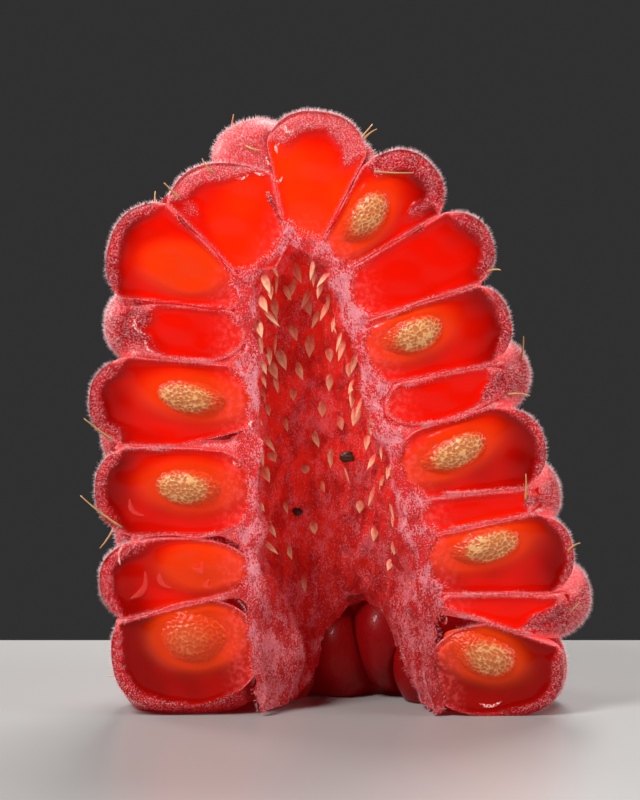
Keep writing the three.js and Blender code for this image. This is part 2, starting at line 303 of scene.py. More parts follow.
def hollow_material():
    """Torn red fibres, frosted with down towards the cut and darker at the foot, with a painted glow."""
    f = Finish("wall of the hollow")
    rim = f.number("rim")
    fibres = f.noise(0.042, 3.0, 0.65, 1.6)
    cloud = f.noise(0.3, 2.0, 0.5, 1.6) + f.noise(0.9, 1.0) - 1
    frost = f.ease(fibres + 0.05 * rim + cloud * 0.5, 0.53, 0.63)
    patch = f.ease(f.noise(0.5, 2.0, 0.5, 2.2), 0.42, 0.62)
    low = 1 - f.ease(f.number("height"), 1.5, 5.5)
    height = f.ease(f.number("height"), 1.0, 8.0)
    red = f.blend(height, rgb(156, 5, 7), rgb(230, 32, 20))
    red = f.blend(patch * 0.55, red, rgb(148, 4, 8))
    red = f.blend(rim * (0.5 - low * 0.4), red, rgb(214, 26, 36))
    pale = 0.24 + f.ease(rim, 0.1, 0.9) * (0.56 - low * 0.48)
    colour = f.blend(frost * pale, red, rgb(255, 184, 192))
    strands = f.ease(f.noise(0.1, 3.0, 0.6, 3.0), 0.5, 0.64)
    colour = f.blend(strands * 0.32, colour, rgb(238, 84, 72))
    pits = f.ease(f.noise(0.2, 2.0, 0.5, 1.7), 0.56, 0.68)
    colour = f.blend(pits * (0.6 - rim * 0.3), colour, rgb(128, 3, 5))
    # glow is a painted glow: an emission in the wall's red, pinker where frost shows, which brightens the
    # shaded hollow and its rim.
    glow = f.blend(frost * pale * 0.6, red, rgb(240, 136, 156))
    grain = f.noise(0.12, 2.0)
    torn = 1 - f.ease(f.number("fade") + (grain - 0.5) * 1.6, 0.45, 0.75)
    f.surface(
        Base_Color=colour,
        Roughness=0.4,
        Subsurface_Weight=0.25,
        Subsurface_Radius=(1.0, 0.25, 0.12),
        Subsurface_Scale=0.7 * MM,
        Specular_IOR_Level=0.35,
        Emission_Color=glow,
        Emission_Strength=0.4,
        Alpha=torn,
        Normal=f.bump(fibres + f.noise(0.25, 3.0, 0.6, 2.5) * 1.4, 0.15),
    )
    return f.material


def stone_material():
    """A tan net on a browner ground, reddened where pulp veils it, with a painted glow in its own colour."""
    f = Finish("netted stone")
    ridge = f.ease(f.number("ridge"), 0.55, 1.0)
    veil = f.number("veil")
    ground = f.blend(f.noise(0.3, 2.0), rgb(178, 92, 50), rgb(198, 120, 72))
    bare = f.blend(ridge * (0.35 + 0.6 * f.noise(0.3, 1.0)), ground, rgb(232, 184, 122))
    colour = f.blend(f.ease(veil, 0.02, 0.95) * 0.95, bare, rgb(208, 52, 12))
    f.surface(
        Base_Color=colour,
        Roughness=0.3,
        Subsurface_Weight=0.25,
        Subsurface_Radius=(1.0, 0.4, 0.2),
        Subsurface_Scale=0.4 * MM,
        Specular_IOR_Level=0.22,
        Coat_Weight=0.25 - veil * 0.2,
        Coat_Roughness=0.12,
        # Painted glow: the stone's colour is also given off as emission.
        Emission_Color=colour,
        Emission_Strength=0.3,
    )
    return f.material


def down_material():
    """Whitish hairs that also let light through, with a faint painted pink glow."""
    f = Finish("down")
    shine = f.add("ShaderNodeBsdfTranslucent", values={"Color": rgb(255, 226, 226)})
    values = {
        "Base Color": rgb(252, 222, 224),
        "Roughness": 0.5,
        "Emission Color": rgb(255, 168, 184),
        "Emission Strength": 0.07,
    }
    body = f.add("ShaderNodeBsdfPrincipled", values=values)
    f.show(f.add("ShaderNodeMixShader", values={0: 0.4, 1: body, 2: shine}))
    return f.material


def scar_material():
    """Cream at the tip, red where the flap grows from the wall, redder all over where faint, painted to
    glow.
    """
    f = Finish("cream scar")
    streak = f.noise(0.1, 2.0)
    tip = f.number("tip")
    colour = f.blend(f.ease(tip, 0.0, 0.75), rgb(206, 48, 36), rgb(238, 184, 142))
    colour = f.blend(f.ease(streak, 0.4, 0.7) * 0.4, colour, rgb(252, 222, 186))
    colour = f.blend(f.number("middle") * 0.55, colour, rgb(206, 62, 48))
    colour = f.blend(f.number("faint"), colour, rgb(202, 50, 40))
    # Painted glow: the scar's colour is also given off as emission.
    light = {"Emission_Color": colour, "Emission_Strength": 0.14}
    f.surface(Base_Color=colour, Roughness=0.5, Subsurface_Weight=0.2, Subsurface_Scale=0.3 * MM, **light)
    return f.material


def juice_material():
    """Clear red juice with a painted glow and bright flecks that are painted glints. The broad films have no
    flecks.
    """
    f = Finish("juice and painted glints")
    # shine is the painted glints: bright flecks that stand for light caught on the narrow films.
    shine = f.ease(f.noise(0.06, 2.0), 0.42, 0.6) * (1 - f.number("broad"))
    colour = f.blend(shine, rgb(232, 74, 62), rgb(254, 214, 210))
    # Painted glow: the colour, glints and all, is also given off as emission.
    light = {"Emission_Color": colour, "Emission_Strength": 0.25}
    f.surface(Base_Color=colour, Roughness=0.08, Alpha=0.45 + shine * 0.4, **light)
    return f.material


def style_material():
    f = Finish("dry style")
    colour = f.blend(f.noise(0.3, 2.0), rgb(176, 112, 56), rgb(228, 184, 122))
    f.surface(Base_Color=colour, Roughness=0.45)
    return f.material


def scrap_material():
    f = Finish("dark scrap")
    colour = f.blend(f.noise(0.1, 2.0), rgb(30, 14, 6), rgb(88, 48, 20))
    f.surface(Base_Color=colour, Roughness=0.35)
    return f.material


def floor_material():
    f = Finish("pale floor")
    f.surface(Base_Color=rgb(158, 156, 154), Roughness=0.35)
    return f.material


FLESH = flesh_material()
HOLLOW = hollow_material()
STONE = stone_material()
DOWN = down_material()
SCAR = scar_material()
JUICE = juice_material()
STYLE = style_material()
SCRAP = scrap_material()
print("materials", len(bpy.data.materials))

# %% [markdown]
# ## Working on meshes
# Blender's operators act on whatever is selected, so every step starts by clearing the selection.
# Shapes are drawn in millimetres with the cut face at Y = 0, as the model's own drawing is, and each
# finished piece is then shrunk to metres and moved to the frame in one step.


# %% Selecting, reading and finishing
def activate(piece):
    if bpy.context.mode != "OBJECT":
        bpy.ops.object.mode_set(mode="OBJECT")
    bpy.ops.object.select_all(action="DESELECT")
    piece.select_set(True)
    bpy.context.view_layer.objects.active = piece


def points_of(piece):
    points = np.empty(len(piece.data.vertices) * 3, np.float32)
    piece.data.vertices.foreach_get("co", points)
    return points.reshape(-1, 3).astype(float)


def normals_of(piece):
    normals = np.empty(len(piece.data.vertices) * 3, np.float32)
    piece.data.vertices.foreach_get("normal", normals)
    return normals.reshape(-1, 3).astype(float)


def move_points(piece, points):
    piece.data.vertices.foreach_set("co", points.astype(np.float32).ravel())
    piece.data.update()


def carry(piece, name, values):
    """Keeps one number for each point of the piece, for its material to read."""
    numbers = piece.data.attributes.get(name) or piece.data.attributes.new(name, "FLOAT", "POINT")
    numbers.data.foreach_set("value", np.asarray(values, np.float32))


def carried(piece, name):
    numbers = np.empty(len(piece.data.vertices), np.float32)
    piece.data.attributes[name].data.foreach_get("value", numbers)
    return numbers.astype(float)


FINE_BALL = 5
SMALL_BALL = 3


def add_ball(subdivisions):
    bpy.ops.object.select_all(action="DESELECT")
    bpy.ops.mesh.primitive_ico_sphere_add(subdivisions=subdivisions, radius=1)
    return bpy.context.object


def slice_by(piece, planes, **settings):
    """Cuts all of the piece along each plane, which is a point and a normal."""
    activate(piece)
    bpy.ops.object.mode_set(mode="EDIT")
    for point, normal in planes:
        bpy.ops.mesh.select_all(action="SELECT")
        bpy.ops.mesh.bisect(plane_co=point, plane_no=normal, **settings)
    bpy.ops.object.mode_set(mode="OBJECT")


def face_outward(piece):
    """Turns all normals of a closed piece outward."""
    activate(piece)
    bpy.ops.object.mode_set(mode="EDIT")
    bpy.ops.mesh.select_all(action="SELECT")
    bpy.ops.mesh.normals_make_consistent(inside=False)
    bpy.ops.object.mode_set(mode="OBJECT")


def apply_modifier(piece, kind, **settings):
    activate(piece)
    modifier = piece.modifiers.new(kind.lower(), kind)
    for key, value in settings.items():
        setattr(modifier, key, value)
    bpy.ops.object.modifier_apply(modifier=modifier.name)


def join(pieces, name):
    activate(pieces[0])
    for piece in pieces:
        piece.select_set(True)
    if len(pieces) > 1:
        bpy.ops.object.join()
    joined = bpy.context.object
    joined.name = name
    joined.data.name = name
    return joined


def deliver(piece, material, replaced=()):
    """Shrinks a drawn piece into the frame, gives it its finish and fixes it to the part."""
    activate(piece)
    piece.scale = (MM, MM, MM)
    piece.location = Vector((DRAWING_X, CUT_Y, 0)) * MM
    bpy.ops.object.transform_apply(location=True, rotation=True, scale=True)
    bpy.ops.object.shade_smooth()
    piece.data.materials.clear()
    piece.data.materials.append(material)
    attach(piece, "root")
    if replaced:
        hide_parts(*replaced)
    triangles = sum(len(face.vertices) - 2 for face in piece.data.polygons)
    print(piece.name, triangles, "triangles")


def ease(value, low, high):
    share = np.clip((value - low) / (high - low), 0, 1)
    return share * share * (3 - 2 * share)


def unit(vectors):
    return vectors / np.maximum(1e-9, np.linalg.norm(vectors, axis=-1, keepdims=True))


def ripple(points, size, seed):
    """Smooth irregular waves, from about -1 to 1, whose crests are about size apart."""
    draw = np.random.default_rng(seed)
    total = np.zeros(len(points))
    for _ in range(7):
        wave = unit(draw.normal(size=3)) * 2 * math.pi / (size * draw.uniform(0.7, 1.4))
        total += np.sin(points @ wave + draw.uniform(0, 2 * math.pi))
    return total / 3


# %% Finding what the camera sees
RAY_START = -5


def trees_of(pieces):
    """Search trees that tell where a ray meets the pieces."""
    graph = bpy.context.evaluated_depsgraph_get()
    return [BVHTree.FromObject(piece, graph) for piece in pieces]


def seen_at(trees, pixel):
    """The foremost point of the pieces at a pixel, or None where there is none."""
    x, z = from_pixel(pixel)
    hits = [tree.ray_cast(Vector((x, RAY_START, z)), Vector((0, 1, 0))) for tree in trees]
    hits = [hit for hit in hits if hit[0] is not None]
    return np.array(min(hits, key=lambda hit: hit[3])[0]) if hits else None


def nearest_on(trees, point):
    found = [tree.find_nearest(Vector(point)) for tree in trees]
    return np.array(min(found, key=lambda hit: hit[3])[0])


# %% [markdown]
# ## The plan of the berry
# The drupelets on the cut are listed one by one, because they are the ones that show. The rest are spread
# by a rule: each new one starts where there is most room, and then all of them settle, like bubbles.
# The imported model was made by the same plan, so the pieces here stand where its solids stand, apart
# from shifts of under half a millimetre that are named where they are made.

# %% Where each drupelet sits
CROWN_HEIGHT = 18.1
WAIST_RADIUS = 6.95
OUTER_FULLNESS = 3.3
HOLLOW_HEIGHT = 14.5
HOLLOW_RADIUS = 2.75
HOLLOW_FULLNESS = 2.2
LEAN = math.radians(7.4)
BASE = np.array([0.36, 0, 0])
HIDDEN_DRUPELETS = 37
HIDDEN_LIP = 0.3
HIDDEN_TONES = 0.2
SKIN_START = -1.2
SKIN_STEP = 0.3
SLOPE_STEP = 0.001
SETTLING_ROUNDS = 30
LOWEST_ROOT = 0.8
ROOT_RISE = 0.2
PACKING = 0.62
NEAR_NEIGHBOURS = 4
PLAN_SEED = 4
ROOT_DEPTH = 0.85
SINK = 0.35
CUT_WIDTH = 1.55
BERRY_UP = np.array([-math.sin(LEAN), 0, math.cos(LEAN)])
BERRY_RIGHT = np.array([math.cos(LEAN), 0, math.sin(LEAN)])
BACK = np.array([0.0, 1.0, 0.0])

# Root on the hollow, tip of the dome, how far behind the cut the middle lies, half height, tone, and
# how wide the skin shows round the dome.
CUT_DRUPELETS = [
    ((-2.71, 2.1), (-6.73, 1.7), 0, 1.75, -0.3, 0.3),
    ((-2.86, 4.15), (-7.08, 4.0), 0.1, 1.35, -0.1, 0.3),
    ((-2.8, 6.75), (-7.2, 6.8), 0, 1.52, -0.08, 0.3),
    ((-2.8, 9.4), (-7.35, 9.45), 0, 1.5, -0.05, 0.38),
    ((-2.86, 11.4), (-6.85, 11.7), 1.0, 1.35, 0.02, 0.55),
    ((-3.0, 13.1), (-6.75, 14.05), 0, 1.72, 0.03, 0.26),
    ((-1.8, 14.1), (-4.92, 15.6), 0.1, 1.45, 0.3, 0.5),
    ((-1.0, 14.25), (-0.6, 17.95), 0.1, 1.6, 0.45, 0.6),
    ((-0.2, 13.8), (2.65, 16.4), 0, 1.4, 0.0, 0.5),
    ((0.35, 12.75), (4.4, 14.25), 0, 1.35, 0.05, 0.32),
    ((0.9, 10.9), (4.95, 11.95), 0, 1.42, -0.08, 0.28),
    ((1.3, 9.2), (5.5, 10.35), 1.1, 1.35, 0.08, 0.5),
    ((1.95, 7.4), (6.0, 8.2), 0, 1.42, -0.12, 0.22),
    ((2.35, 5.95), (6.45, 6.65), 1.1, 1.35, 0.1, 0.5),
    ((2.7, 4.5), (6.87, 4.95), 0, 1.42, -0.15, 0.2),
    ((2.9, 3.2), (7.4, 3.45), 1.1, 1.4, 0.12, 0.5),
    ((2.95, 1.3), (6.6, 1.5), 0, 1.5, -0.48, 0.28),
]
# Walls whose line on the cut is read off the picture: the two drupelets, the inner and the outer end.
MEASURED_WALLS = {
    (0, 1): ((-2.71, 3.83), (-7.05, 2.74)),
    (5, 6): ((-2.75, 12.95), (-5.1, 15.3)),
    (15, 16): ((2.71, 3.36), (6.4, 2.18)),
}
# The dome left of the crown that the knife missed.
MISSED_DRUPELET = ((-1.6, 14.4), (-3.0, 17.1), 1.5, 1.45, 0.2, 0.3)


def outer_radius(height):
    share = np.maximum(0, height) / CROWN_HEIGHT
    return WAIST_RADIUS * np.sqrt(np.maximum(0, 1 - share**OUTER_FULLNESS))


def hollow_radius(height):
    share = np.maximum(0, height) / HOLLOW_HEIGHT
    return HOLLOW_RADIUS * np.sqrt(np.maximum(0, 1 - share**HOLLOW_FULLNESS))


def berry_point(radius, turn, height):
    """A point from its distance to the leaning axis, its turn round it and its height along it."""
    across = np.multiply.outer(radius * np.cos(turn), BERRY_RIGHT)
    across = across + np.multiply.outer(radius * np.sin(turn), BACK)
    return BASE + across + np.multiply.outer(height, BERRY_UP)


def skin_points():
    """Points spread evenly over the outside of the half, ring by ring."""
    points = []
    height = SKIN_START
    while outer_radius(height) > SKIN_STEP:
        radius = float(outer_radius(height))
        slope = (float(outer_radius(max(0, height + SLOPE_STEP))) - radius) / SLOPE_STEP
        steps = round(math.pi * radius / SKIN_STEP)
        turns = math.pi * np.arange(steps + 1) / steps
        ring = berry_point(np.full(steps + 1, radius), turns, np.full(steps + 1, height))
        points.extend(ring[ring[:, 2] >= 0])
        height += SKIN_STEP / math.hypot(1, slope)
    return np.array(points)


def settled_tips(fixed):
    """The tips of the hidden drupelets, spread between the fixed ones until they stand evenly."""
    skin = skin_points()
    tips = list(fixed)
    for _ in range(HIDDEN_DRUPELETS):
        room = np.linalg.norm(skin[:, None] - np.array(tips)[None], axis=2).min(axis=1)
        tips.append(skin[room.argmax()])
    tips = np.array(tips)
    for _ in range(SETTLING_ROUNDS):
        owner = np.linalg.norm(skin[:, None] - tips[None], axis=2).argmin(axis=1)
        for i in range(len(fixed), len(tips)):
            middle = skin[owner == i].mean(axis=0)
            tips[i] = skin[np.linalg.norm(skin - middle, axis=1).argmin()]
    return tips[len(fixed):]


def root_of(tip):
    """The point on the hollow that a hidden drupelet grows from."""
    arm = tip - BASE
    height = arm @ BERRY_UP
    turn = math.atan2(arm @ BACK, arm @ BERRY_RIGHT)
    root_height = max(LOWEST_ROOT, height) * (1 - ROOT_RISE * (height / CROWN_HEIGHT) ** 4)
    return berry_point(float(hollow_radius(root_height)), turn, root_height)


def new_drupelet(root, tip, high, wide, tone, lip, cut):
    """One drupelet of the plan: where it stands, its half height and width, and how it looks."""
    return {
        "root": np.array(root), "tip": np.array(tip), "high": high, "wide": wide,
        "tone": tone, "lip": lip, "cut": cut,
        "root_depth": ROOT_DEPTH, "sink": SINK, "blush_and_sheen": 0,
    }


def plan_drupelets():
    plan = []
    for root, tip, behind, half, tone, lip in [*CUT_DRUPELETS, MISSED_DRUPELET]:
        root = [root[0], behind * 0.5, root[1]]
        tip = [tip[0], behind, tip[1]]
        plan.append(new_drupelet(root, tip, half, CUT_WIDTH, tone, lip, len(plan) < len(CUT_DRUPELETS)))
    hidden = settled_tips([d["tip"] for d in plan])
    tips = np.array([d["tip"] for d in plan] + list(hidden))
    draw = np.random.default_rng(PLAN_SEED)
    for tip in hidden:
        gaps = np.sort(np.linalg.norm(tips - tip, axis=1))
        size = PACKING * gaps[1:1 + NEAR_NEIGHBOURS].mean()
        tone = draw.uniform(-HIDDEN_TONES, HIDDEN_TONES)
        plan.append(new_drupelet(root_of(tip), tip, size, size, tone, HIDDEN_LIP, False))
    return plan


plan = plan_drupelets()

# %% Drupelets that differ
# Their places in the plan. The missed dome stands a little higher than in the model, and the ones
# that the knife only grazed lie further back. The skin by the crown is paler and pinker than
# elsewhere, partly real frost and partly a painted highlight, which also lifts the painted glow there,
# and the cut drupelet left of the crown is broad at its root.
LOWEST_LEFT, TOP_LEFT, CROWN, MISSED = 0, 6, 7, 17
MISSED_SHIFT = [0.05, 0.0, 0.45]
GRAZED_BEHIND = 0.5
GRAZED_SHIFT = 0.42
BLUSHES_AND_SHEEN = {MISSED: 0.6, CROWN: 0.5, TOP_LEFT: 0.45}
TOP_LEFT_ROOT = {"root_depth": 1.35, "sink": 1.0}

plan[MISSED]["tip"] += MISSED_SHIFT
plan[TOP_LEFT].update(TOP_LEFT_ROOT)
for number, blush_and_sheen in BLUSHES_AND_SHEEN.items():
    plan[number]["blush_and_sheen"] = blush_and_sheen
for drupelet in plan:
    if drupelet["cut"] and drupelet["tip"][1] > GRAZED_BEHIND:
        drupelet["tip"][1] += GRAZED_SHIFT
print("drupelets", len(plan), "of which the cut meets", len(CUT_DRUPELETS))

# %% [markdown]
# ## One drupelet
# A drupelet is a blunt egg, pressed flat by its neighbours. We start from a ball, shape it as an egg
# by formula, and slice it with the plane halfway to each neighbour, as soap bubbles divide a space.
# Remeshing and smoothing then round every pressed edge, which leaves the creases between the domes.

# %% Egg, slices and rounding
BLUNTNESS = 0.82
ROOT_WIDTH = 0.55
SWELL = 0.06
ROOT_GAP = -0.24
HIDDEN_ROOT_GAP = 0.22
LOW_ROOT = 2.3
OPENING_TURN = 0.43 * math.pi
OPENING_REACH = 0.72
BEHIND_THE_CUT = 0.25
WALL_GAP = 0.01
REACH_OF_NEIGHBOURS = 5.2
NEARLY_UPRIGHT = 0.3
UNDERCUT = -0.25
SMOOTHING_ROUNDS = 4
FINE_VOXEL = 0.085
COARSE_VOXEL = 0.125


def axes_of(drupelet):
    """Its directions outward, sideways and upward."""
    out = unit(drupelet["tip"] - drupelet["root"])
    side = np.cross(out, BERRY_UP)
    if np.linalg.norm(side) < NEARLY_UPRIGHT:
        side = BACK.copy()
    side = unit(side - side @ out * out)
    return out, side, np.cross(out, side)


def add_egg(drupelet):
    out, side, up = axes_of(drupelet)
    foot = drupelet["root"] - drupelet["sink"] * out
    swell = SWELL if drupelet["cut"] else 0
    half = (np.linalg.norm(drupelet["tip"] - foot) + swell) / 2
    egg = add_ball(FINE_BALL)
    x, y, z = points_of(egg).T
    along = np.sign(z) * np.abs(z) ** BLUNTNESS
    girth = np.maximum(1e-6, np.hypot(x, y))
    puff = girth ** (BLUNTNESS - 1)
    reach = (1 + along) / 2
    wide = (ROOT_WIDTH + (1 - ROOT_WIDTH) * reach) * (drupelet["wide"] + swell)
    high = (drupelet["root_depth"] + (1 - drupelet["root_depth"]) * reach) * (drupelet["high"] + swell)
    local = np.stack([x * puff * wide, y * puff * high, along * half], axis=1)
    move_points(egg, foot + half * out + local @ np.array([side, up, out]))
    return egg


def between(own, other):
    """Halfway between two drupelets: the middles of the tips and the roots, and the wall's normal."""
    middle_tip = (own["tip"] + other["tip"]) / 2
    middle_root = (own["root"] + other["root"]) / 2
    along = unit(middle_tip - middle_root)
    normal = other["tip"] + other["root"] - own["tip"] - own["root"]
    return middle_tip, middle_root, unit(normal - normal @ along * along)


def plane_between(own, other):
    """The plane halfway between two drupelets: a point and a normal that points to the other one."""
    middle_tip, middle_root, normal = between(own, other)
    return (middle_tip + middle_root) / 2 - WALL_GAP * normal, normal


def measured_plane(pair, own):
    """The plane of a measured wall, with its normal pointing away from the drupelet's tip."""
    inner, outer = (np.array([x, 0, z]) for x, z in MEASURED_WALLS[pair])
    normal = unit(np.cross(outer - inner, BACK))
    if (own["tip"] - inner) @ normal > 0:
        normal = -normal
    return inner - WALL_GAP * normal, normal


def wall_planes(index):
    """The planes that part a drupelet from its near neighbours. Left of the crown the knife passes in
    front of the missed dome, so the cut one there runs on until the crown. The lowest left one keeps
    its round foot, so the planes that slope under it are left out."""
    own = plan[index]
    planes = []
    for other_index, other in enumerate(plan):
        pair = tuple(sorted((index, other_index)))
        far = np.linalg.norm(own["tip"] - other["tip"]) > REACH_OF_NEIGHBOURS
        if other_index == index or far or pair == (TOP_LEFT, MISSED):
            continue
        if pair == (TOP_LEFT, CROWN):
            if index == TOP_LEFT:
                planes.append(plane_between(plan[MISSED], other))
            continue
        if pair in MEASURED_WALLS:
            planes.append(measured_plane(pair, own))
            continue
        middle, normal = plane_between(own, other)
        if index == LOWEST_LEFT and not other["cut"] and normal[2] < UNDERCUT:
            continue
        planes.append((middle, normal))
    return planes


def round_off(piece, voxel):
    activate(piece)
    piece.data.remesh_voxel_size = voxel
    bpy.ops.object.voxel_remesh()
    apply_modifier(piece, "SMOOTH", factor=0.5, iterations=SMOOTHING_ROUNDS)


def cut_outline(piece):
    """The edges round the face that the cut left, as pairs of X and Z."""
    faces = [p for p in piece.data.polygons if p.normal.y < -0.99 and abs(p.center.y) < 0.001]
    uses = Counter(key for face in faces for key in face.edge_keys)
    rim = [key for key, count in uses.items() if count == 1]
    return points_of(piece)[:, [0, 2]][np.array(rim, int).reshape(-1, 2)]


def distance_to_outline(points, outline):
    """How far each point of the cut is from the nearest edge of the outline."""
    start = outline[None, :, 0]
    run = outline[None, :, 1] - start
    away = points[:, None] - start
    share = np.clip((away * run).sum(-1) / np.maximum(1e-12, (run * run).sum(-1)), 0, 1)
    return np.linalg.norm(away - share[..., None] * run, axis=-1).min(axis=1)


# %% [markdown]
# ## The stones' places
# Ten stones show in the cut. Each lies in its pocket of pulp with its pointed end to the hollow. The
# pulp climbs a little up its sides and hazes its colour, so the pulp has to know where they are. Two
# lie wholly under the pulp and show only as a haze.

# %% Stones in the plan
STONE_THICKNESS = 0.56
STONE_SET_BACK = 0.24
VEIL_SET_BACK = 0.29
# The middle of each stone on the cut, its slope in degrees, its half length, its half height and how
# far the pulp veils it.
STONE_PLACES = {
    "stone_left_1": ((-4.22, 2.4), 3, 1.3, 0.92, 0.6),
    "stone_left_2": ((-3.98, 4.5), 0, 1.1, 0.6, 0.88),
    "stone_left_3": ((-4.37, 6.9), -3, 1.25, 0.65, 0.05),
    "stone_left_4": ((-4.25, 9.56), -8, 1.3, 0.58, 0.1),
    "stone_left_5": ((-4.6, 13.4), -12, 1.05, 0.62, 0.88),
    "stone_right_1": ((0.68, 14.85), 50, 1.1, 0.62, 0.2),
    "stone_right_2": ((2.05, 11.4), 20, 1.15, 0.62, 0.05),
    "stone_right_3": ((3.24, 7.88), 24, 1.3, 0.58, 0.0),
    "stone_right_4": ((4.2, 5.1), 13, 1.3, 0.58, 0.0),
    "stone_right_5": ((4.2, 1.9), -22, 1.2, 0.72, 0.25),
}
STONES = [
    dict(zip(("name", "at", "slope", "length", "height", "veil"), (name, *values)))
    for name, values in STONE_PLACES.items()
]
FAR_FROM_STONES = 9.0


def stone_nearness(flat_points):
    """How far points of the cut are from the nearest stone's outline, in millimetres, below 0 inside."""
    nearest = np.full(len(flat_points), FAR_FROM_STONES)
    for stone in STONES:
        slope = math.radians(stone["slope"])
        arm = flat_points - np.array(stone["at"])
        along = arm[:, 0] * math.cos(slope) + arm[:, 1] * math.sin(slope)
        across = arm[:, 1] * math.cos(slope) - arm[:, 0] * math.sin(slope)
        radius = np.hypot(along / stone["length"], across / stone["height"])
        nearest = np.minimum(nearest, (radius - 1) * stone["height"])
    return nearest


# %% [markdown]
# ## The cut face of a drupelet
# The knife leaves the skin standing as a rounded lip round the dome and as a thin double wall between
# neighbours, while the pulp sinks a little. The lip is shaped by how far each point is from the
# outline of the cut, which a flat fill would lose, so this relief is set point by point.

# %% Lip, pulp and numbers for the material
# Sizes in millimetres. A point is on the cut face where it lies less than FACE_DEPTH behind the cut
# and its normal's Y is below FACE_TURN.
THIN_WALL = 0.03
LIP_ROUNDING = 0.6
WIDEST_ROUNDING = 0.4
PULP_DROP = 0.09
PULP_WAVES = 0.02
STONE_CLIMB = 0.14
STONE_CLIMB_REACH = 0.22
HAZE_REACH = 0.24
CREASE_SHADE = 0.75
HIDDEN_PINK = 0.15
FACE_DEPTH = 0.12
FACE_TURN = -0.45


def shape_cut_face(piece, drupelet, outline, planes):
    """Raises the lip, lowers the pulp and keeps the numbers that the flesh material reads."""
    points = points_of(piece)
    normals = normals_of(piece)
    out = unit(drupelet["tip"] - drupelet["root"])
    length = np.linalg.norm(drupelet["tip"] - drupelet["root"])
    reach = (points - drupelet["root"]) @ out / length
    room = np.min([(point - points) @ normal for point, normal in planes], axis=0)
    face = (points[:, 1] < FACE_DEPTH) & (normals[:, 1] < FACE_TURN)
    edge = np.zeros(len(points))
    skin = np.ones(len(points))
    haze = np.zeros(len(points))
    pink = 1 - ease(room, 0.02, 0.3)
    if drupelet["cut"]:
        flat = points[face][:, [0, 2]]
        depth = distance_to_outline(flat, outline)
        near_stone = stone_nearness(flat)
        lip = THIN_WALL + drupelet["lip"] * ease(room[face], 0.0, 0.6) * ease(reach[face], 0.35, 0.75)
        lip *= 1 + 0.16 * ripple(points[face], 0.9, 3) + 0.06 * ripple(points[face], 0.25, 4)
        curl = np.clip(1 - depth / lip, 0, 1)
        rounding = LIP_ROUNDING * np.minimum(lip, WIDEST_ROUNDING)
        points[face, 1] += rounding * (1 - np.sqrt(np.maximum(0, 1 - curl**2)))
        drop = PULP_DROP * ease(depth, lip, lip + 0.14)
        climb = STONE_CLIMB * np.exp(-((np.maximum(0, near_stone) / STONE_CLIMB_REACH) ** 2))
        drop -= climb * ease(depth, 0.1, 0.3)
        drop += PULP_WAVES * ripple(points[face], 1.1, 8) * ease(depth, 0.1, 0.5)
        points[face, 1] += drop
        skin[face] = 1 - ease(depth, lip * 0.85, lip + 0.06)
        edge[face] = np.maximum(0, depth - lip)
        haze[face] = np.exp(-((np.maximum(0, near_stone + 0.05) / HAZE_REACH) ** 2)) * (1 - skin[face])
        pink[face] = (1 - ease(room[face], 0.02, 0.35)) * skin[face]
    pink = np.maximum(pink, 1 - ease(reach, 0.02, 0.16)) * skin
    arm = points - BASE
    from_wall = np.hypot(arm @ BERRY_RIGHT, arm[:, 1]) - hollow_radius(arm @ BERRY_UP)
    inner = (1 - ease(from_wall, 0.8, 2.2)) * bulges_into_hollow(drupelet)
    if not drupelet["cut"]:
        # Painted shade: the creases between hidden drupelets are darkened through inner.
        inner = np.maximum(inner, CREASE_SHADE * (1 - ease(room, 0.02, 0.28)))
    pink = pink * (1 - inner) * (1 if drupelet["cut"] else HIDDEN_PINK)
    move_points(piece, points)
    numbers = {
        "reach": reach,
        "inner": inner,
        "pale": (1 - ease(reach, 0.0, 0.26)) * (1 - skin),
        "edge": edge,
        "skin": skin,
        "haze": haze,
        # The paler pink by the crown, partly real frost and partly a painted highlight, fades towards the
        # back.
        "pink": np.maximum(pink, drupelet["blush_and_sheen"] * skin * (1 - ease(points[:, 1], 1.0, 2.4))),
        "tone": np.full(len(points), drupelet["tone"]),
        "open": ease(room, 0.06, 0.14) * skin * ease(reach, 0.1, 0.3) * (1 - inner),
    }
    for name, values in numbers.items():
        carry(piece, name, values)


def bulges_into_hollow(drupelet):
    """Whether its inner end shows, round and smooth, in the opening under the wall."""
    arm = drupelet["root"] - BASE
    turn = math.atan2(arm @ BACK, arm @ BERRY_RIGHT)
    in_opening = abs(turn - OPENING_TURN) < OPENING_REACH
    return not drupelet["cut"] and in_opening and drupelet["root"][2] < LOW_ROOT


def make_drupelet(index):
    drupelet = plan[index]
    cut = drupelet["cut"]
    piece = add_egg(drupelet)
    planes = wall_planes(index)
    front = (np.array([0, 0 if cut else BEHIND_THE_CUT, 0]), -BACK)
    floor = (np.array([0, 0, 0]), np.array([0, 0, -1.0]))
    out = unit(drupelet["tip"] - drupelet["root"])
    if not bulges_into_hollow(drupelet):
        planes.append((drupelet["root"] + (ROOT_GAP if cut else HIDDEN_ROOT_GAP) * out, -out))
    slice_by(piece, planes + [floor, front], use_fill=True, clear_outer=True)
    outline = cut_outline(piece)
    round_off(piece, FINE_VOXEL if cut else COARSE_VOXEL)
    shape_cut_face(piece, drupelet, outline, planes)
    return piece


LEFT_OF = -0.9

groups = {"flesh_cut": [], "flesh_back_left": [], "flesh_back_right": []}
for index, drupelet in enumerate(plan):
    side = "left" if drupelet["tip"][0] < LEFT_OF else "right"
    group = "flesh_cut" if drupelet["cut"] else "flesh_back_" + side
    groups[group].append(make_drupelet(index))
flesh = {name: join(pieces, name) for name, pieces in groups.items()}
for name, piece in flesh.items():
    print(name, len(piece.data.polygons), "faces")

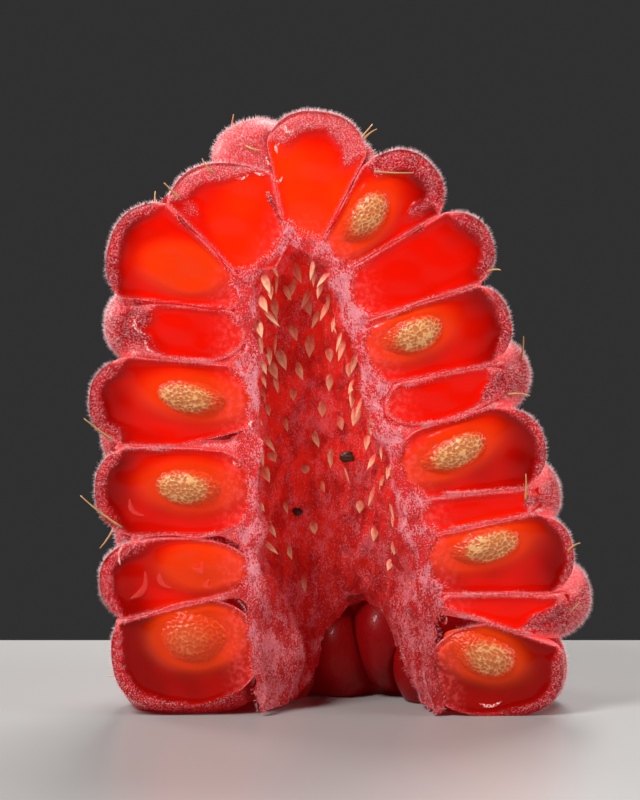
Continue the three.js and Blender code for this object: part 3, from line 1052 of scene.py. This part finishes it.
# %% [markdown]
# ## The double walls
# Where two drupelets meet, the knife leaves their two skins standing as one thin pale ridge. It widens
# to a downy wedge at both ends, towards the hollow and where the domes part. Each ridge is a long
# cylinder, divided along its length and squeezed to that outline, with a slight waver.

# %% Ridges between neighbours
# Sizes in millimetres. A ridge starts RIDGE_LEAD before the wall's inner end. Its wedges are what it
# gains in half width at that end and at the outer one.
RIDGE_SIDES = 12
RIDGE_ROWS = 44
RIDGE_HALF = 0.05
RIDGE_DEPTH = 0.3
RIDGE_PROUD = 0.02
RIDGE_LEAD = 0.3
ROOT_WEDGE = 0.4
ROOT_WEDGE_LENGTH = 0.95
TIP_WEDGE = 0.15
TIP_WEDGE_LENGTH = 0.38
RIDGE_SWAY = 0.06
# How pale each ridge is and how much it swells in its middle, from the lowest left one round.
RIDGE_LOOKS = [
    (0.7, 0.0), (0.9, 0.0), (1.0, 0.12), (0.8, 0.06), (0.1, 0.0), (0.2, 0.0), (0.3, 0.0), (0.15, 0.0),
    (0.2, 0.0), (0.75, 0.02), (0.7, 0.02), (0.9, 0.02), (0.8, 0.06), (0.8, 0.03), (0.9, 0.03), (0.8, 0.05),
]


def rows_along(piece, rows):
    """Divides a piece that stands on the origin and is 1 tall into equal rows."""
    slice_by(piece, [((0, 0, row / rows), (0, 0, 1)) for row in range(1, rows)])


def add_rod(sides):
    bpy.ops.object.select_all(action="DESELECT")
    bpy.ops.mesh.primitive_cylinder_add(vertices=sides, radius=1, depth=1, location=(0, 0, 0.5))
    bpy.ops.object.transform_apply(location=True)
    return bpy.context.object


def crease_of(number):
    """The inner and outer end of the wall between a cut drupelet and the one before it."""
    if (number - 1, number) in MEASURED_WALLS:
        return [np.array([x, 0, z]) for x, z in MEASURED_WALLS[(number - 1, number)]]
    middle_tip, middle_root, normal = between(plan[number - 1], plan[number])
    in_cut = np.array([normal[0], 0, normal[2]])
    ends = []
    for point in (middle_root, middle_tip):
        shift = point[1] * normal[1] / (in_cut @ in_cut)
        ends.append(np.array([point[0], 0, point[2]]) + shift * in_cut)
    return ends


def swelling(distance, length):
    """1 where distance is 0, falling softly to nothing past the length."""
    return np.exp(-((distance / length) ** 2))


def make_ridge(number):
    first, second = plan[number - 1], plan[number]
    root, tip = crease_of(number)
    parting = np.linalg.norm(first["tip"] - second["tip"]) / 2
    size = (first["high"] + second["high"]) / 2
    end_gap = size * (1 - math.sqrt(max(0.0, 1 - min(1.0, parting / size) ** 2.4)))
    ridge = add_rod(RIDGE_SIDES)
    rows_along(ridge, RIDGE_ROWS)
    x, y, z = points_of(ridge).T
    length = np.linalg.norm(tip - root) - end_gap * 0.85 + RIDGE_LEAD
    line = unit(tip - root)
    distance = z * length
    paleness, swell = RIDGE_LOOKS[number - 1]
    wedge = ROOT_WEDGE * swelling(distance, ROOT_WEDGE_LENGTH)
    wedge += TIP_WEDGE * swelling(length - distance, TIP_WEDGE_LENGTH)
    wedge += swell * swelling(distance - 0.5 * length, 1.0)
    wedge *= 0.35 + 0.65 * paleness
    place = np.stack([distance, distance * 0, distance * 0], axis=1)
    half = RIDGE_HALF * (1 + 0.45 * ripple(place, 0.7, number)) + wedge
    half *= ease(length - distance, -0.03, 0.22)
    sway = RIDGE_SWAY * ripple(place, 1.6, number + 50) * ease(distance, 0.1, 0.6)
    proud = RIDGE_PROUD * (1 + 0.8 * ripple(place, 0.9, number + 90)) - 0.12 * ease(wedge, 0.04, 0.15)
    points = root - RIDGE_LEAD * line + np.outer(distance, line)
    points += np.outer(x * half + sway, np.cross(line, BACK))
    points[:, 1] = RIDGE_DEPTH * (1 + y) - proud
    move_points(ridge, points)
    face_outward(ridge)
    wide = ease(wedge, 0.02, 0.1)
    carry(ridge, "skin", np.clip(0.12 + paleness * (0.7 + 0.4 * wide), 0, 1))
    carry(ridge, "pink", paleness * (0.65 + 0.35 * wide))
    carry(ridge, "open", (0.15 + wide) * paleness)
    carry(ridge, "edge", np.full(len(points), 0.15))
    carry(ridge, "reach", distance / length)
    return ridge


ridges = join([make_ridge(i) for i in range(1, len(CUT_DRUPELETS))], "double_walls")
print("ridges", len(CUT_DRUPELETS) - 1, "faces", len(ridges.data.polygons))

# %% [markdown]
# ## The wall of the hollow
# The plug tore away here, so the wall is rough, fibrous and downy, with a bump where each drupelet
# ends. It starts as a flat grid. Its middle is rolled into half a dome by formula, so that its rows
# follow the berry's height, and its sides turn outward over the cut as a torn, frosted lip. The lip
# reaches out furthest at each double wall, and at its foot the wall swells into a broad flank.

# %% Wall of the hollow
# Sizes in millimetres. ROUND_SHARE is how much of the grid's width, from its middle out, is rolled into
# the dome on each side. The flares swell the foot, and the opening is the gap that the foot leaves.
WALL_COLUMNS = 210
WALL_ROWS = 200
ROUND_SHARE = 0.4
LIP_WIDTH = 0.3
LIP_OVERLAP = 0.03
PEAK_WIDTH = 0.18
PEAK_OVERLAP = 0.55
PEAK_REACH = 0.42
LEFT_FLARE = 0.9
RIGHT_FLARE = 0.3
FLARE_TOP = 4.8
FLANK_TOP = 4.6
OPENING_HEIGHT = 2.9
OPENING_WIDTH = 0.5
OPENING_INSET = 0.3
ROOT_BUMP = 0.2
ROOT_BUMP_REACH = 0.75
DOME_CENTRE = 2.2
FOOT_CLEARANCE = 0.03
WALL_INSIDE = 6.0


def rim_radius(side, height):
    """How far the roots of the cut drupelets stand from the axis, left for side -1 and right for 1."""
    arms = np.array([d["root"] for d in plan if d["cut"]]) - BASE
    up, right = arms @ BERRY_UP, arms @ BERRY_RIGHT
    radius = np.zeros(len(height))
    for half in (-1, 1):
        own = right * half > 0
        order = np.argsort(up[own])
        heights = np.append(up[own][order], HOLLOW_HEIGHT)
        radii = np.append((right * half)[own][order], 0)
        on_half = side == half
        radius[on_half] = np.interp(height[on_half], heights, radii)
    return radius


def distance_to_creases(points):
    """How far points are, seen from the front, from the nearest inner end of a double wall."""
    creases = np.array([crease_of(i)[0] for i in range(1, len(CUT_DRUPELETS))])
    return np.linalg.norm((points[:, None] - creases[None])[:, :, [0, 2]], axis=2).min(axis=1)


def face_inward(wall):
    """Flips the normals of the wall if they point away from the hollow."""
    inside = berry_point(0.0, 0.0, WALL_INSIDE)
    if np.mean(((inside - points_of(wall)) * normals_of(wall)).sum(axis=1)) < 0:
        activate(wall)
        bpy.ops.object.mode_set(mode="EDIT")
        bpy.ops.mesh.select_all(action="SELECT")
        bpy.ops.mesh.flip_normals()
        bpy.ops.object.mode_set(mode="OBJECT")


def make_hollow():
    bpy.ops.object.select_all(action="DESELECT")
    bpy.ops.mesh.primitive_grid_add(x_subdivisions=WALL_COLUMNS, y_subdivisions=WALL_ROWS, size=1)
    wall = bpy.context.object
    u, v, _ = points_of(wall).T
    side = np.where(u < 0, -1, 1)
    arc = np.clip(np.abs(u) / ROUND_SHARE, 0, 1)
    fold = np.clip((np.abs(u) - ROUND_SHARE) / (0.5 - ROUND_SHARE), 0, 1)
    turn = math.pi * (0.5 - 0.5 * side * arc)
    opening = swelling(turn - OPENING_TURN, OPENING_WIDTH)
    low = 0.1 - HOLLOW_RADIUS * math.sin(LEAN) * np.cos(turn) + OPENING_HEIGHT * opening
    height = low + (HOLLOW_HEIGHT - low) * (1 - (0.5 - v) ** 1.6)
    front = ease(arc, 0.62, 1.0)
    radius = hollow_radius(height) * (1 - front) + rim_radius(side, height) * front
    points = berry_point(np.ones(len(u)), turn, height)
    axis = berry_point(np.zeros(len(u)), turn, height)
    points = axis + (points - axis) * radius[:, None]
    centre = berry_point(np.zeros(len(u)), turn, np.minimum(height, HOLLOW_HEIGHT - DOME_CENTRE))
    inward = unit(centre - points)
    roots = np.array([d["root"] for d in plan])
    nearest = np.linalg.norm(points[:, None] - roots[None], axis=2).min(axis=1)
    rough = ROOT_BUMP * swelling(nearest, ROOT_BUMP_REACH) - 0.04
    rough += 0.07 * ripple(points * [1, 1, 0.45], 0.45, 11) + 0.035 * ripple(points * [1, 1, 0.6], 0.22, 12)
    rough -= OPENING_INSET * opening * (1 - ease(height - low, 0.0, 0.7))
    peak = swelling(distance_to_creases(points), PEAK_REACH)
    lip = LIP_WIDTH * (1 + 0.22 * ripple(points, 1.3, 31) + 0.12 * ripple(points, 0.4, 32))
    lip *= 0.45 + 0.55 * ease(HOLLOW_HEIGHT - height, 0.0, 2.5)
    lip += PEAK_WIDTH * peak
    overlap = LIP_OVERLAP + PEAK_OVERLAP * peak + 0.1 * ripple(points, 0.5, 33)
    flare = np.where(side < 0, LEFT_FLARE, RIGHT_FLARE) * ease(FLARE_TOP - height, 0.0, 3.0)
    flare *= ease(1 - arc, 0.0, 0.3) * ease(arc, 0.2, 0.55) * (0.3 + 0.7 * ease(height - low, 0.0, 1.8))
    offset = rough * (1 - 0.5 * front) + lip * ease(arc, 0.3, 0.75) + flare
    offset = offset * (1 - fold) - overlap * fold
    points += inward * offset[:, None]
    proud = (0.05 + 0.04 * ripple(points, 0.45, 34)) * np.sin(math.pi * np.minimum(1, fold * 1.15))
    points[:, 1] += 0.3 * ease(fold, 0.8, 1.0) - proud
    points[:, 2] = np.maximum(points[:, 2], FOOT_CLEARANCE)
    move_points(wall, points)
    height = (points - BASE) @ BERRY_UP
    flank = ease(FLANK_TOP - height, 0.0, 3.0) * (1 - opening) * ease(arc, 0.3, 0.6)
    carry(wall, "height", height)
    carry(wall, "rim", np.maximum(ease(arc, 0.7, 1.0), flank))
    carry(wall, "fade", ease(fold, 0.35, 0.95))
    face_inward(wall)
    wall.name = "hollow_wall"
    return wall


hollow_wall = make_hollow()
print("wall", len(hollow_wall.data.polygons), "faces")

# %% [markdown]
# ## Stones
# A raspberry stone is a bent drop with a raised net on it. The net is a cell pattern: every point asks
# which two pit centres are nearest, and rises where they are equally near. The front is divided
# once more than the back, which nobody sees.

# %% Netted stones
PITS = 560
PIT_JITTER = 0.09
NET_WIDTH = 0.06
NET_RISE = 0.03
FINE_FRONT = 0.25


def net_on(ball, size, seed):
    """1 on the raised net of a stone and 0 in its pits, for points of a ball of the stone's size."""
    draw = np.random.default_rng(seed)
    number = np.arange(PITS) + 0.5
    polar = np.arccos(1 - 2 * number / PITS)
    spin = math.pi * (1 + 5**0.5) * number
    pits = np.stack([np.cos(polar), np.sin(polar) * np.cos(spin), np.sin(polar) * np.sin(spin)], axis=1)
    pits = unit(pits + PIT_JITTER * draw.normal(size=pits.shape))
    gaps = np.linalg.norm((ball[:, None] - pits[None]) * size, axis=2)
    gaps.sort(axis=1)
    return 1 - ease(gaps[:, 1] - gaps[:, 0], 0.0, NET_WIDTH)


def divide_front(piece, inward):
    """Divides the faces of a ball that will face the camera, and turns all faces into triangles."""
    activate(piece)
    bpy.ops.object.mode_set(mode="EDIT")
    bpy.ops.mesh.select_all(action="DESELECT")
    bpy.ops.object.mode_set(mode="OBJECT")
    for face in piece.data.polygons:
        face.select = inward * face.center.y < FINE_FRONT
    bpy.ops.object.mode_set(mode="EDIT")
    bpy.ops.mesh.subdivide(number_cuts=1)
    bpy.ops.mesh.select_all(action="SELECT")
    bpy.ops.mesh.quads_convert_to_tris()
    bpy.ops.object.mode_set(mode="OBJECT")


def make_stone(stone, seed):
    piece = add_ball(FINE_BALL)
    inward = 1 if stone["at"][0] < 0 else -1
    divide_front(piece, inward)
    ball = unit(points_of(piece))
    ridge = net_on(ball, np.array([stone["length"], STONE_THICKNESS, stone["height"]]), seed)
    x, y, z = ball.T
    taper = 1 - 0.3 * np.maximum(0, x) ** 2 - 0.12 * x
    shape = np.stack([
        inward * x * stone["length"],
        inward * y * taper * STONE_THICKNESS,
        (z * taper + 0.16 * x * x - 0.05) * stone["height"],
    ], axis=1)
    shape *= 1 + (NET_RISE * (ridge - 0.7) / 0.6)[:, None]
    slope = math.radians(stone["slope"])
    turned = shape.copy()
    turned[:, 0] = shape[:, 0] * math.cos(slope) - shape[:, 2] * math.sin(slope)
    turned[:, 2] = shape[:, 0] * math.sin(slope) + shape[:, 2] * math.cos(slope)
    set_back = STONE_SET_BACK + VEIL_SET_BACK * float(ease(stone["veil"], 0.5, 0.9))
    points = turned + [stone["at"][0], set_back, stone["at"][1]]
    move_points(piece, points)
    if inward < 0:
        face_outward(piece)
    carry(piece, "ridge", ridge)
    sunk = ease(points[:, 1] + 0.08 * x, -0.3, -0.08)
    carry(piece, "veil", np.clip(stone["veil"] + (1 - stone["veil"]) * sunk, 0, 1))
    piece.name = stone["name"] + "_netted"
    return piece


stone_pieces = [make_stone(stone, seed) for seed, stone in enumerate(STONES)]

# %% [markdown]
# ## Copies by the thousand
# Down, scars and styles repeat far too often to place by hand. One of each is modelled, and then its
# points are copied to every place in one sweep of arithmetic. The copies share one mesh, and each has
# only a few faces.

# %% Stamping copies
def stamp(name, pattern, places, directions, rolls, scales):
    """Copies a pattern, whose root is at its origin and whose tip points up, to many places."""
    shape = points_of(pattern)
    faces = [list(face.vertices) for face in pattern.data.polygons]
    count = len(places)
    up = unit(directions)
    helper = np.where(np.abs(up[:, 2:3]) > 0.9, np.array([[1.0, 0, 0]]), np.array([[0, 0, 1.0]]))
    side = unit(np.cross(up, helper))
    front = np.cross(side, up)
    turned_side = side * np.cos(rolls)[:, None] + front * np.sin(rolls)[:, None]
    turned_front = np.cross(turned_side, up)
    frames = np.stack([turned_side, -turned_front, up], axis=1)
    local = shape[None] * scales[:, None, :]
    points = (places[:, None] + local @ frames).reshape(-1, 3)
    corners = np.concatenate([np.array(face) for face in faces])
    sizes = np.array([len(face) for face in faces])
    loops = (corners[None] + len(shape) * np.arange(count)[:, None]).ravel()
    totals = np.tile(sizes, count)
    mesh = bpy.data.meshes.new(name)
    mesh.vertices.add(len(points))
    mesh.vertices.foreach_set("co", points.astype(np.float32).ravel())
    mesh.loops.add(len(loops))
    mesh.loops.foreach_set("vertex_index", loops.astype(np.int32))
    mesh.polygons.add(len(totals))
    mesh.polygons.foreach_set("loop_start", (np.cumsum(totals) - totals).astype(np.int32))
    mesh.update(calc_edges=True)
    piece = bpy.data.objects.new(name, mesh)
    bpy.context.scene.collection.objects.link(piece)
    return piece


def triangles_of(piece):
    piece.data.calc_loop_triangles()
    corners = np.empty(len(piece.data.loop_triangles) * 3, np.int32)
    piece.data.loop_triangles.foreach_get("vertices", corners)
    return corners.reshape(-1, 3)


def scatter(piece, count, draw, density):
    """Random points on a piece, more where density is high, with the normals there."""
    points = points_of(piece)
    normals = normals_of(piece)
    corners = triangles_of(piece)
    a, b, c = (points[corners[:, k]] for k in range(3))
    weight = np.linalg.norm(np.cross(b - a, c - a), axis=1) * density[corners].min(axis=1)
    pick = draw.choice(len(corners), count, p=weight / weight.sum())
    s, t = draw.random(count), draw.random(count)
    over = s + t > 1
    s[over], t[over] = 1 - s[over], 1 - t[over]
    share = np.stack([1 - s - t, s, t], axis=1)[..., None]
    return (points[corners[pick]] * share).sum(axis=1), unit((normals[corners[pick]] * share).sum(axis=1))


# %% [markdown]
# ## Down
# Fine white hairs stand on all of the skin, on the double walls and on the wall of the hollow, most
# thickly where it nears the cut. They are what turns the crimson skin pink, and they draw a bright
# line round the berry. Each is a three-sided spike.

# %% Grow the down
DOWN_PLAN = {
    "flesh_cut": 30000,
    "flesh_back_left": 20000,
    "flesh_back_right": 20000,
}
WALL_DOWN = 11000
RIDGE_DOWN = 3500
DOWN_WIDTH = 0.0055
DOWN_LEAN = 0.42
DOWN_SUNK = 0.01


def add_spike():
    bpy.ops.object.select_all(action="DESELECT")
    size = {"radius1": 1, "radius2": 0, "depth": 1, "location": (0, 0, 0.5)}
    bpy.ops.mesh.primitive_cone_add(vertices=3, end_fill_type="NOTHING", **size)
    spike = bpy.context.object
    bpy.ops.object.transform_apply(location=True)
    return spike


def grow_down(name, carrier, count, seed, density, length):
    draw = np.random.default_rng(seed)
    places, normals = scatter(carrier, count, draw, density)
    lean = unit(normals + DOWN_LEAN * draw.normal(size=normals.shape))
    tall = draw.uniform(*length, count)
    scales = np.stack([np.full(count, DOWN_WIDTH), np.full(count, DOWN_WIDTH), tall], axis=1)
    return stamp(name, spike, places - DOWN_SUNK * normals, lean, draw.uniform(0, 6, count), scales)


spike = add_spike()
down_pieces = []
for seed, (name, count) in enumerate(DOWN_PLAN.items()):
    carrier = flesh[name]
    bare_foot = ease(points_of(carrier)[:, 2], 0.15, 0.4)
    density = carried(carrier, "open") * bare_foot
    name = name.replace("flesh", "down")
    down_pieces.append(grow_down(name, carrier, count, seed + 30, density, (0.08, 0.18)))
thinned = 0.3 + 0.7 * ease(carried(hollow_wall, "height"), 1.0, 6.0)
wall_density = 0.12 + carried(hollow_wall, "rim") ** 2 * thinned
down_pieces.append(grow_down("down_hollow", hollow_wall, WALL_DOWN, 40, wall_density, (0.05, 0.12)))
ridge_density = carried(ridges, "open") * (points_of(ridges)[:, 1] < 0.1)
down_pieces.append(grow_down("down_ridges", ridges, RIDGE_DOWN, 41, ridge_density, (0.07, 0.14)))

# %% [markdown]
# ## Scars and styles
# Where the plug tore off it left small cream flaps, which hang down from the wall. Outside, each
# drupelet may keep its dry style, a bent tan hair. A flap is a flattened ball drawn to a point, and a
# style is a thin cone that is bent row by row.

# %% Cream scars
SCARS = 88
SCAR_HALF_WIDTH = 0.135
SCAR_LENGTHS = (0.38, 0.66)
SCAR_WIDTHS = (0.6, 1.15)
SCAR_SUNK = 0.03
LOWEST_SCAR = 3.4
SCAR_SPAN = 10.4
GOLDEN_SHARE = 0.618034
FAINTEST = 0.65
SCAR_SEED = 17


def make_scars():
    bpy.ops.object.select_all(action="DESELECT")
    bpy.ops.mesh.primitive_uv_sphere_add(segments=12, ring_count=9, radius=1)
    flap = bpy.context.object
    x, y, z = points_of(flap).T
    share = (z + 1) / 2
    width = SCAR_HALF_WIDTH * (1 - share**2.4) + 0.01
    belly = 0.35 * width * y - 0.12 * width * (1 - x * x)
    move_points(flap, np.stack([x * width * 1.1, belly, share], axis=1))
    draw = np.random.default_rng(SCAR_SEED)
    number = np.arange(SCARS)
    share_round = (number * GOLDEN_SHARE + 0.03 * draw.normal(size=SCARS)) % 1
    crowded = 0.7 * share_round + 0.3 * (0.5 - 0.5 * np.cos(math.pi * share_round))
    turn = math.pi * (0.15 + 0.7 * crowded)
    height = LOWEST_SCAR + SCAR_SPAN * ((number + 0.5) / SCARS) ** 0.7
    axis = berry_point(np.zeros(SCARS), turn, height) - [0, 0.4, 0]
    outward = unit(berry_point(np.ones(SCARS), turn, height) - berry_point(np.zeros(SCARS), turn, height))
    tree = trees_of([hollow_wall])[0]
    hits = [tree.ray_cast(Vector(start), Vector(run))[0] for start, run in zip(axis, outward)]
    inward = -outward
    places = np.array([start if hit is None else hit for start, hit in zip(axis, hits)]) - SCAR_SUNK * inward
    hang = unit(0.32 * inward - BERRY_UP + 0.26 * draw.normal(size=places.shape))
    tall = draw.uniform(*SCAR_LENGTHS, SCARS) + 0.12 * ease(height, 9, 13)
    broad = draw.uniform(*SCAR_WIDTHS, SCARS)
    scales = np.stack([broad, np.ones(SCARS), tall], axis=1)
    roll = np.arctan2(inward[:, 1], inward[:, 0]) + 0.3 * draw.normal(size=SCARS)
    scars = stamp("scars", flap, places, hang, roll, scales)
    carry(scars, "tip", np.tile(share, SCARS))
    faint = np.sin(turn) ** 2 * draw.uniform(0.0, FAINTEST, SCARS)
    carry(scars, "faint", np.repeat(faint, len(share)))
    carry(scars, "middle", np.tile(ease(1 - np.abs(x), 0.35, 0.9) * ease(0.9 - share, 0.0, 0.4), SCARS))
    bpy.data.objects.remove(flap)
    return scars


scars = make_scars()

# %% Dry styles
# Root and tip of each style that shows against the background or on the cut, in picture pixels.
SEEN_STYLES = [
    ((179, 197), (165, 182)), ((214, 172), (203, 158)), ((363, 141), (377, 129)),
    ((374, 171), (412, 172)), ((487, 271), (500, 269)), ((112, 440), (84, 418)),
    ((121, 529), (80, 496)), ((522, 362), (524, 338)), ((508, 395), (530, 396)),
    ((526, 501), (526, 474)), ((569, 553), (581, 544)), ((547, 641), (582, 606)),
    ((110, 321), (130, 337)), ((246, 146), (262, 150)),
]
STYLE_SIDES = 5
STYLE_ROWS = 8
STYLE_RADIUS = 0.04
STYLE_TRIES = 60
STYLE_TAPER = 0.6
STYLE_BEND = 4.5
STYLE_LENGTHS = (0.7, 1.3)
BARE_SHARE = 0.2
STYLE_SEED = 23
FRONT_CLEARANCE = [0, 1, 0]


def add_bent_hair():
    hair = add_rod(STYLE_SIDES)
    rows_along(hair, STYLE_ROWS)
    points = points_of(hair)
    share = points[:, 2].copy()
    points[:, :2] *= (1 - STYLE_TAPER * share)[:, None]
    points[:, 0] += STYLE_BEND * share * (share - 1)
    move_points(hair, points)
    return hair


def seen_styles(trees):
    """Place, direction and length of the styles that show in the picture."""
    found = []
    for root, tip in SEEN_STYLES:
        root_x, root_z = from_pixel(root)
        tip_x, tip_z = from_pixel(tip)
        place = seen_at(trees, root)
        if place is None:
            place = nearest_on(trees, (root_x, 0.3, root_z))
        run = np.array([tip_x - root_x, -0.15, tip_z - root_z])
        found.append((place, unit(run), np.linalg.norm(run)))
    return found


def guessed_styles(trees, draw):
    """The same for most of the hidden drupelets, with each style kept inside the model's box."""
    found = []
    low, high = (np.array(corner) / MM - [DRAWING_X, CUT_Y, 0] for corner in cad_box)
    for drupelet in plan:
        if drupelet["cut"] or draw.random() < BARE_SHARE:
            continue
        out = unit(drupelet["tip"] - drupelet["root"])
        place = nearest_on(trees, drupelet["tip"] + 0.3 * draw.normal(size=3))
        for _ in range(STYLE_TRIES):
            direction = unit(0.6 * out + draw.normal(size=3))
            length = draw.uniform(*STYLE_LENGTHS)
            end = place + length * direction
            inside = (end > low + FRONT_CLEARANCE).all() and (end < high).all()
            if direction @ out > 0.2 and inside:
                found.append((place, direction, length))
                break
    return found


def make_styles():
    trees = trees_of(flesh.values())
    draw = np.random.default_rng(STYLE_SEED)
    found = seen_styles(trees) + guessed_styles(trees, draw)
    places, directions, lengths = (np.array(values) for values in zip(*found))
    count = len(found)
    hair = add_bent_hair()
    scales = np.stack([np.full(count, STYLE_RADIUS), np.full(count, STYLE_RADIUS), lengths], axis=1)
    styles = stamp("styles", hair, places, directions, draw.uniform(0, 6, count), scales)
    bpy.data.objects.remove(hair)
    return styles


styles = make_styles()

# %% [markdown]
# ## Two dark scraps
# Two dry brown scraps stick to the wall of the hollow. Each is a dented little grain.

# %% Scraps on the wall
# Place in picture pixels, half length and half width in millimetres.
SCRAPS = [((348, 468), 0.24, 0.15), ((297, 525), 0.15, 0.12)]
SCRAP_PROUD = [0, 0.05, 0]


def make_scraps():
    trees = trees_of([hollow_wall])
    grains = []
    for number, (pixel, half_length, half_width) in enumerate(SCRAPS):
        place = seen_at(trees, pixel) - SCRAP_PROUD
        grain = add_ball(SMALL_BALL)
        ball = points_of(grain)
        ball *= (1 + 0.18 * ripple(ball, 1.0, number))[:, None]
        move_points(grain, ball * [half_length, half_width * 0.6, half_width] + place)
        grains.append(grain)
    return join(grains, "scraps")


scraps = make_scraps()

# %% [markdown]
# ## Wet places
# Where the knife tore a skin, juice stands in small films. The narrow ones carry painted glints, bright
# flecks in their colour, and the broad ones are clear; all have a painted glow. Each is a ball that is
# dented, bent and pressed flat, laid on whatever surface is seen at its place in the picture.

# %% Films of juice
# Place in picture pixels, slope in degrees, half length and half width in millimetres.
FILMS = [
    ((287, 131), -40, 0.16, 0.06), ((277, 146), 70, 0.2, 0.05), ((268, 163), -50, 0.17, 0.05),
    ((279, 181), 20, 0.14, 0.05), ((262, 174), 5, 0.2, 0.04), ((243, 178), 15, 0.2, 0.04),
    ((231, 362), 68, 0.3, 0.07), ((239, 352), 60, 0.14, 0.06), ((137, 328), -55, 0.26, 0.05),
    ((147, 347), -58, 0.2, 0.04), ((142, 592), 60, 0.42, 0.09), ((160, 584), -60, 0.3, 0.08),
    ((200, 573), 30, 0.16, 0.1), ((205, 588), -70, 0.14, 0.08), ((118, 556), 78, 0.3, 0.05),
    ((447, 634), 40, 0.14, 0.05), ((455, 624), 60, 0.1, 0.05), ((492, 712), 5, 0.3, 0.05),
    ((132, 512), -50, 0.3, 0.07), ((236, 466), -20, 0.14, 0.05), ((250, 424), 80, 0.14, 0.05),
]
FILM_BEND = 1.5
FILM_PROUD = [0, 0.01, 0]
BROAD_FILM = 0.065


def make_films():
    ball = add_ball(SMALL_BALL)
    shape = points_of(ball)
    shape *= (1 + 0.2 * ripple(shape, 1.4, 61))[:, None]
    shape[:, 0] += FILM_BEND * shape[:, 2] ** 2
    move_points(ball, shape)
    trees = trees_of([*flesh.values(), ridges, hollow_wall])
    places, directions, scales = [], [], []
    for pixel, slope, half_length, half_width in FILMS:
        places.append(seen_at(trees, pixel) - FILM_PROUD)
        directions.append([math.cos(math.radians(slope)), 0, math.sin(math.radians(slope))])
        scales.append([half_width, half_width * 0.6, half_length])
    places, directions, scales = np.array(places), np.array(directions), np.array(scales)
    films = stamp("films", ball, places, directions, np.full(len(places), math.pi / 2), scales)
    carry(films, "broad", np.repeat(scales[:, 0] > BROAD_FILM, len(shape)))
    bpy.data.objects.remove(ball)
    return films


films = make_films()

# %% [markdown]
# ## Into the frame
# Every piece is now shrunk to metres, moved to the frame and fixed to the part. The drupelets, the
# wall and the scars together stand for the model's one body of flesh.

# %% Deliver the pieces
for number, piece in enumerate(flesh.values()):
    deliver(piece, FLESH, ["flesh"] if number == 0 else ())
deliver(ridges, FLESH)
deliver(hollow_wall, HOLLOW)
for stone, piece in zip(STONES, stone_pieces):
    deliver(piece, STONE, [stone["name"]])
for piece in down_pieces:
    deliver(piece, DOWN)
bpy.data.objects.remove(spike)
deliver(scars, SCAR)
deliver(films, JUICE)
deliver(styles, STYLE)
deliver(scraps, SCRAP)

# %% Floor
FLOOR_WIDTH = 400
FLOOR_BACK = 9
FLOOR_FRONT = -260


def add_floor():
    bpy.ops.object.select_all(action="DESELECT")
    bpy.ops.mesh.primitive_plane_add(size=1)
    floor = bpy.context.object
    floor.name = "floor"
    floor.scale = (FLOOR_WIDTH * MM, (FLOOR_BACK - FLOOR_FRONT) * MM, 1)
    floor.location = (0, (FLOOR_BACK + FLOOR_FRONT) / 2 * MM, 0)
    bpy.ops.object.transform_apply(location=True, scale=True)
    floor.data.materials.append(floor_material())
    floor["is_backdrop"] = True


add_floor()

# %% Sizes and the last line
sizes = {"cad": cad_box, "visual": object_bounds()}
plain_sizes = {name: [list(corner) for corner in corners] for name, corners in sizes.items()}
for name, (low, high) in plain_sizes.items():
    print(name, [round((b - a) * 1000, 2) for a, b in zip(low, high)], "mm")
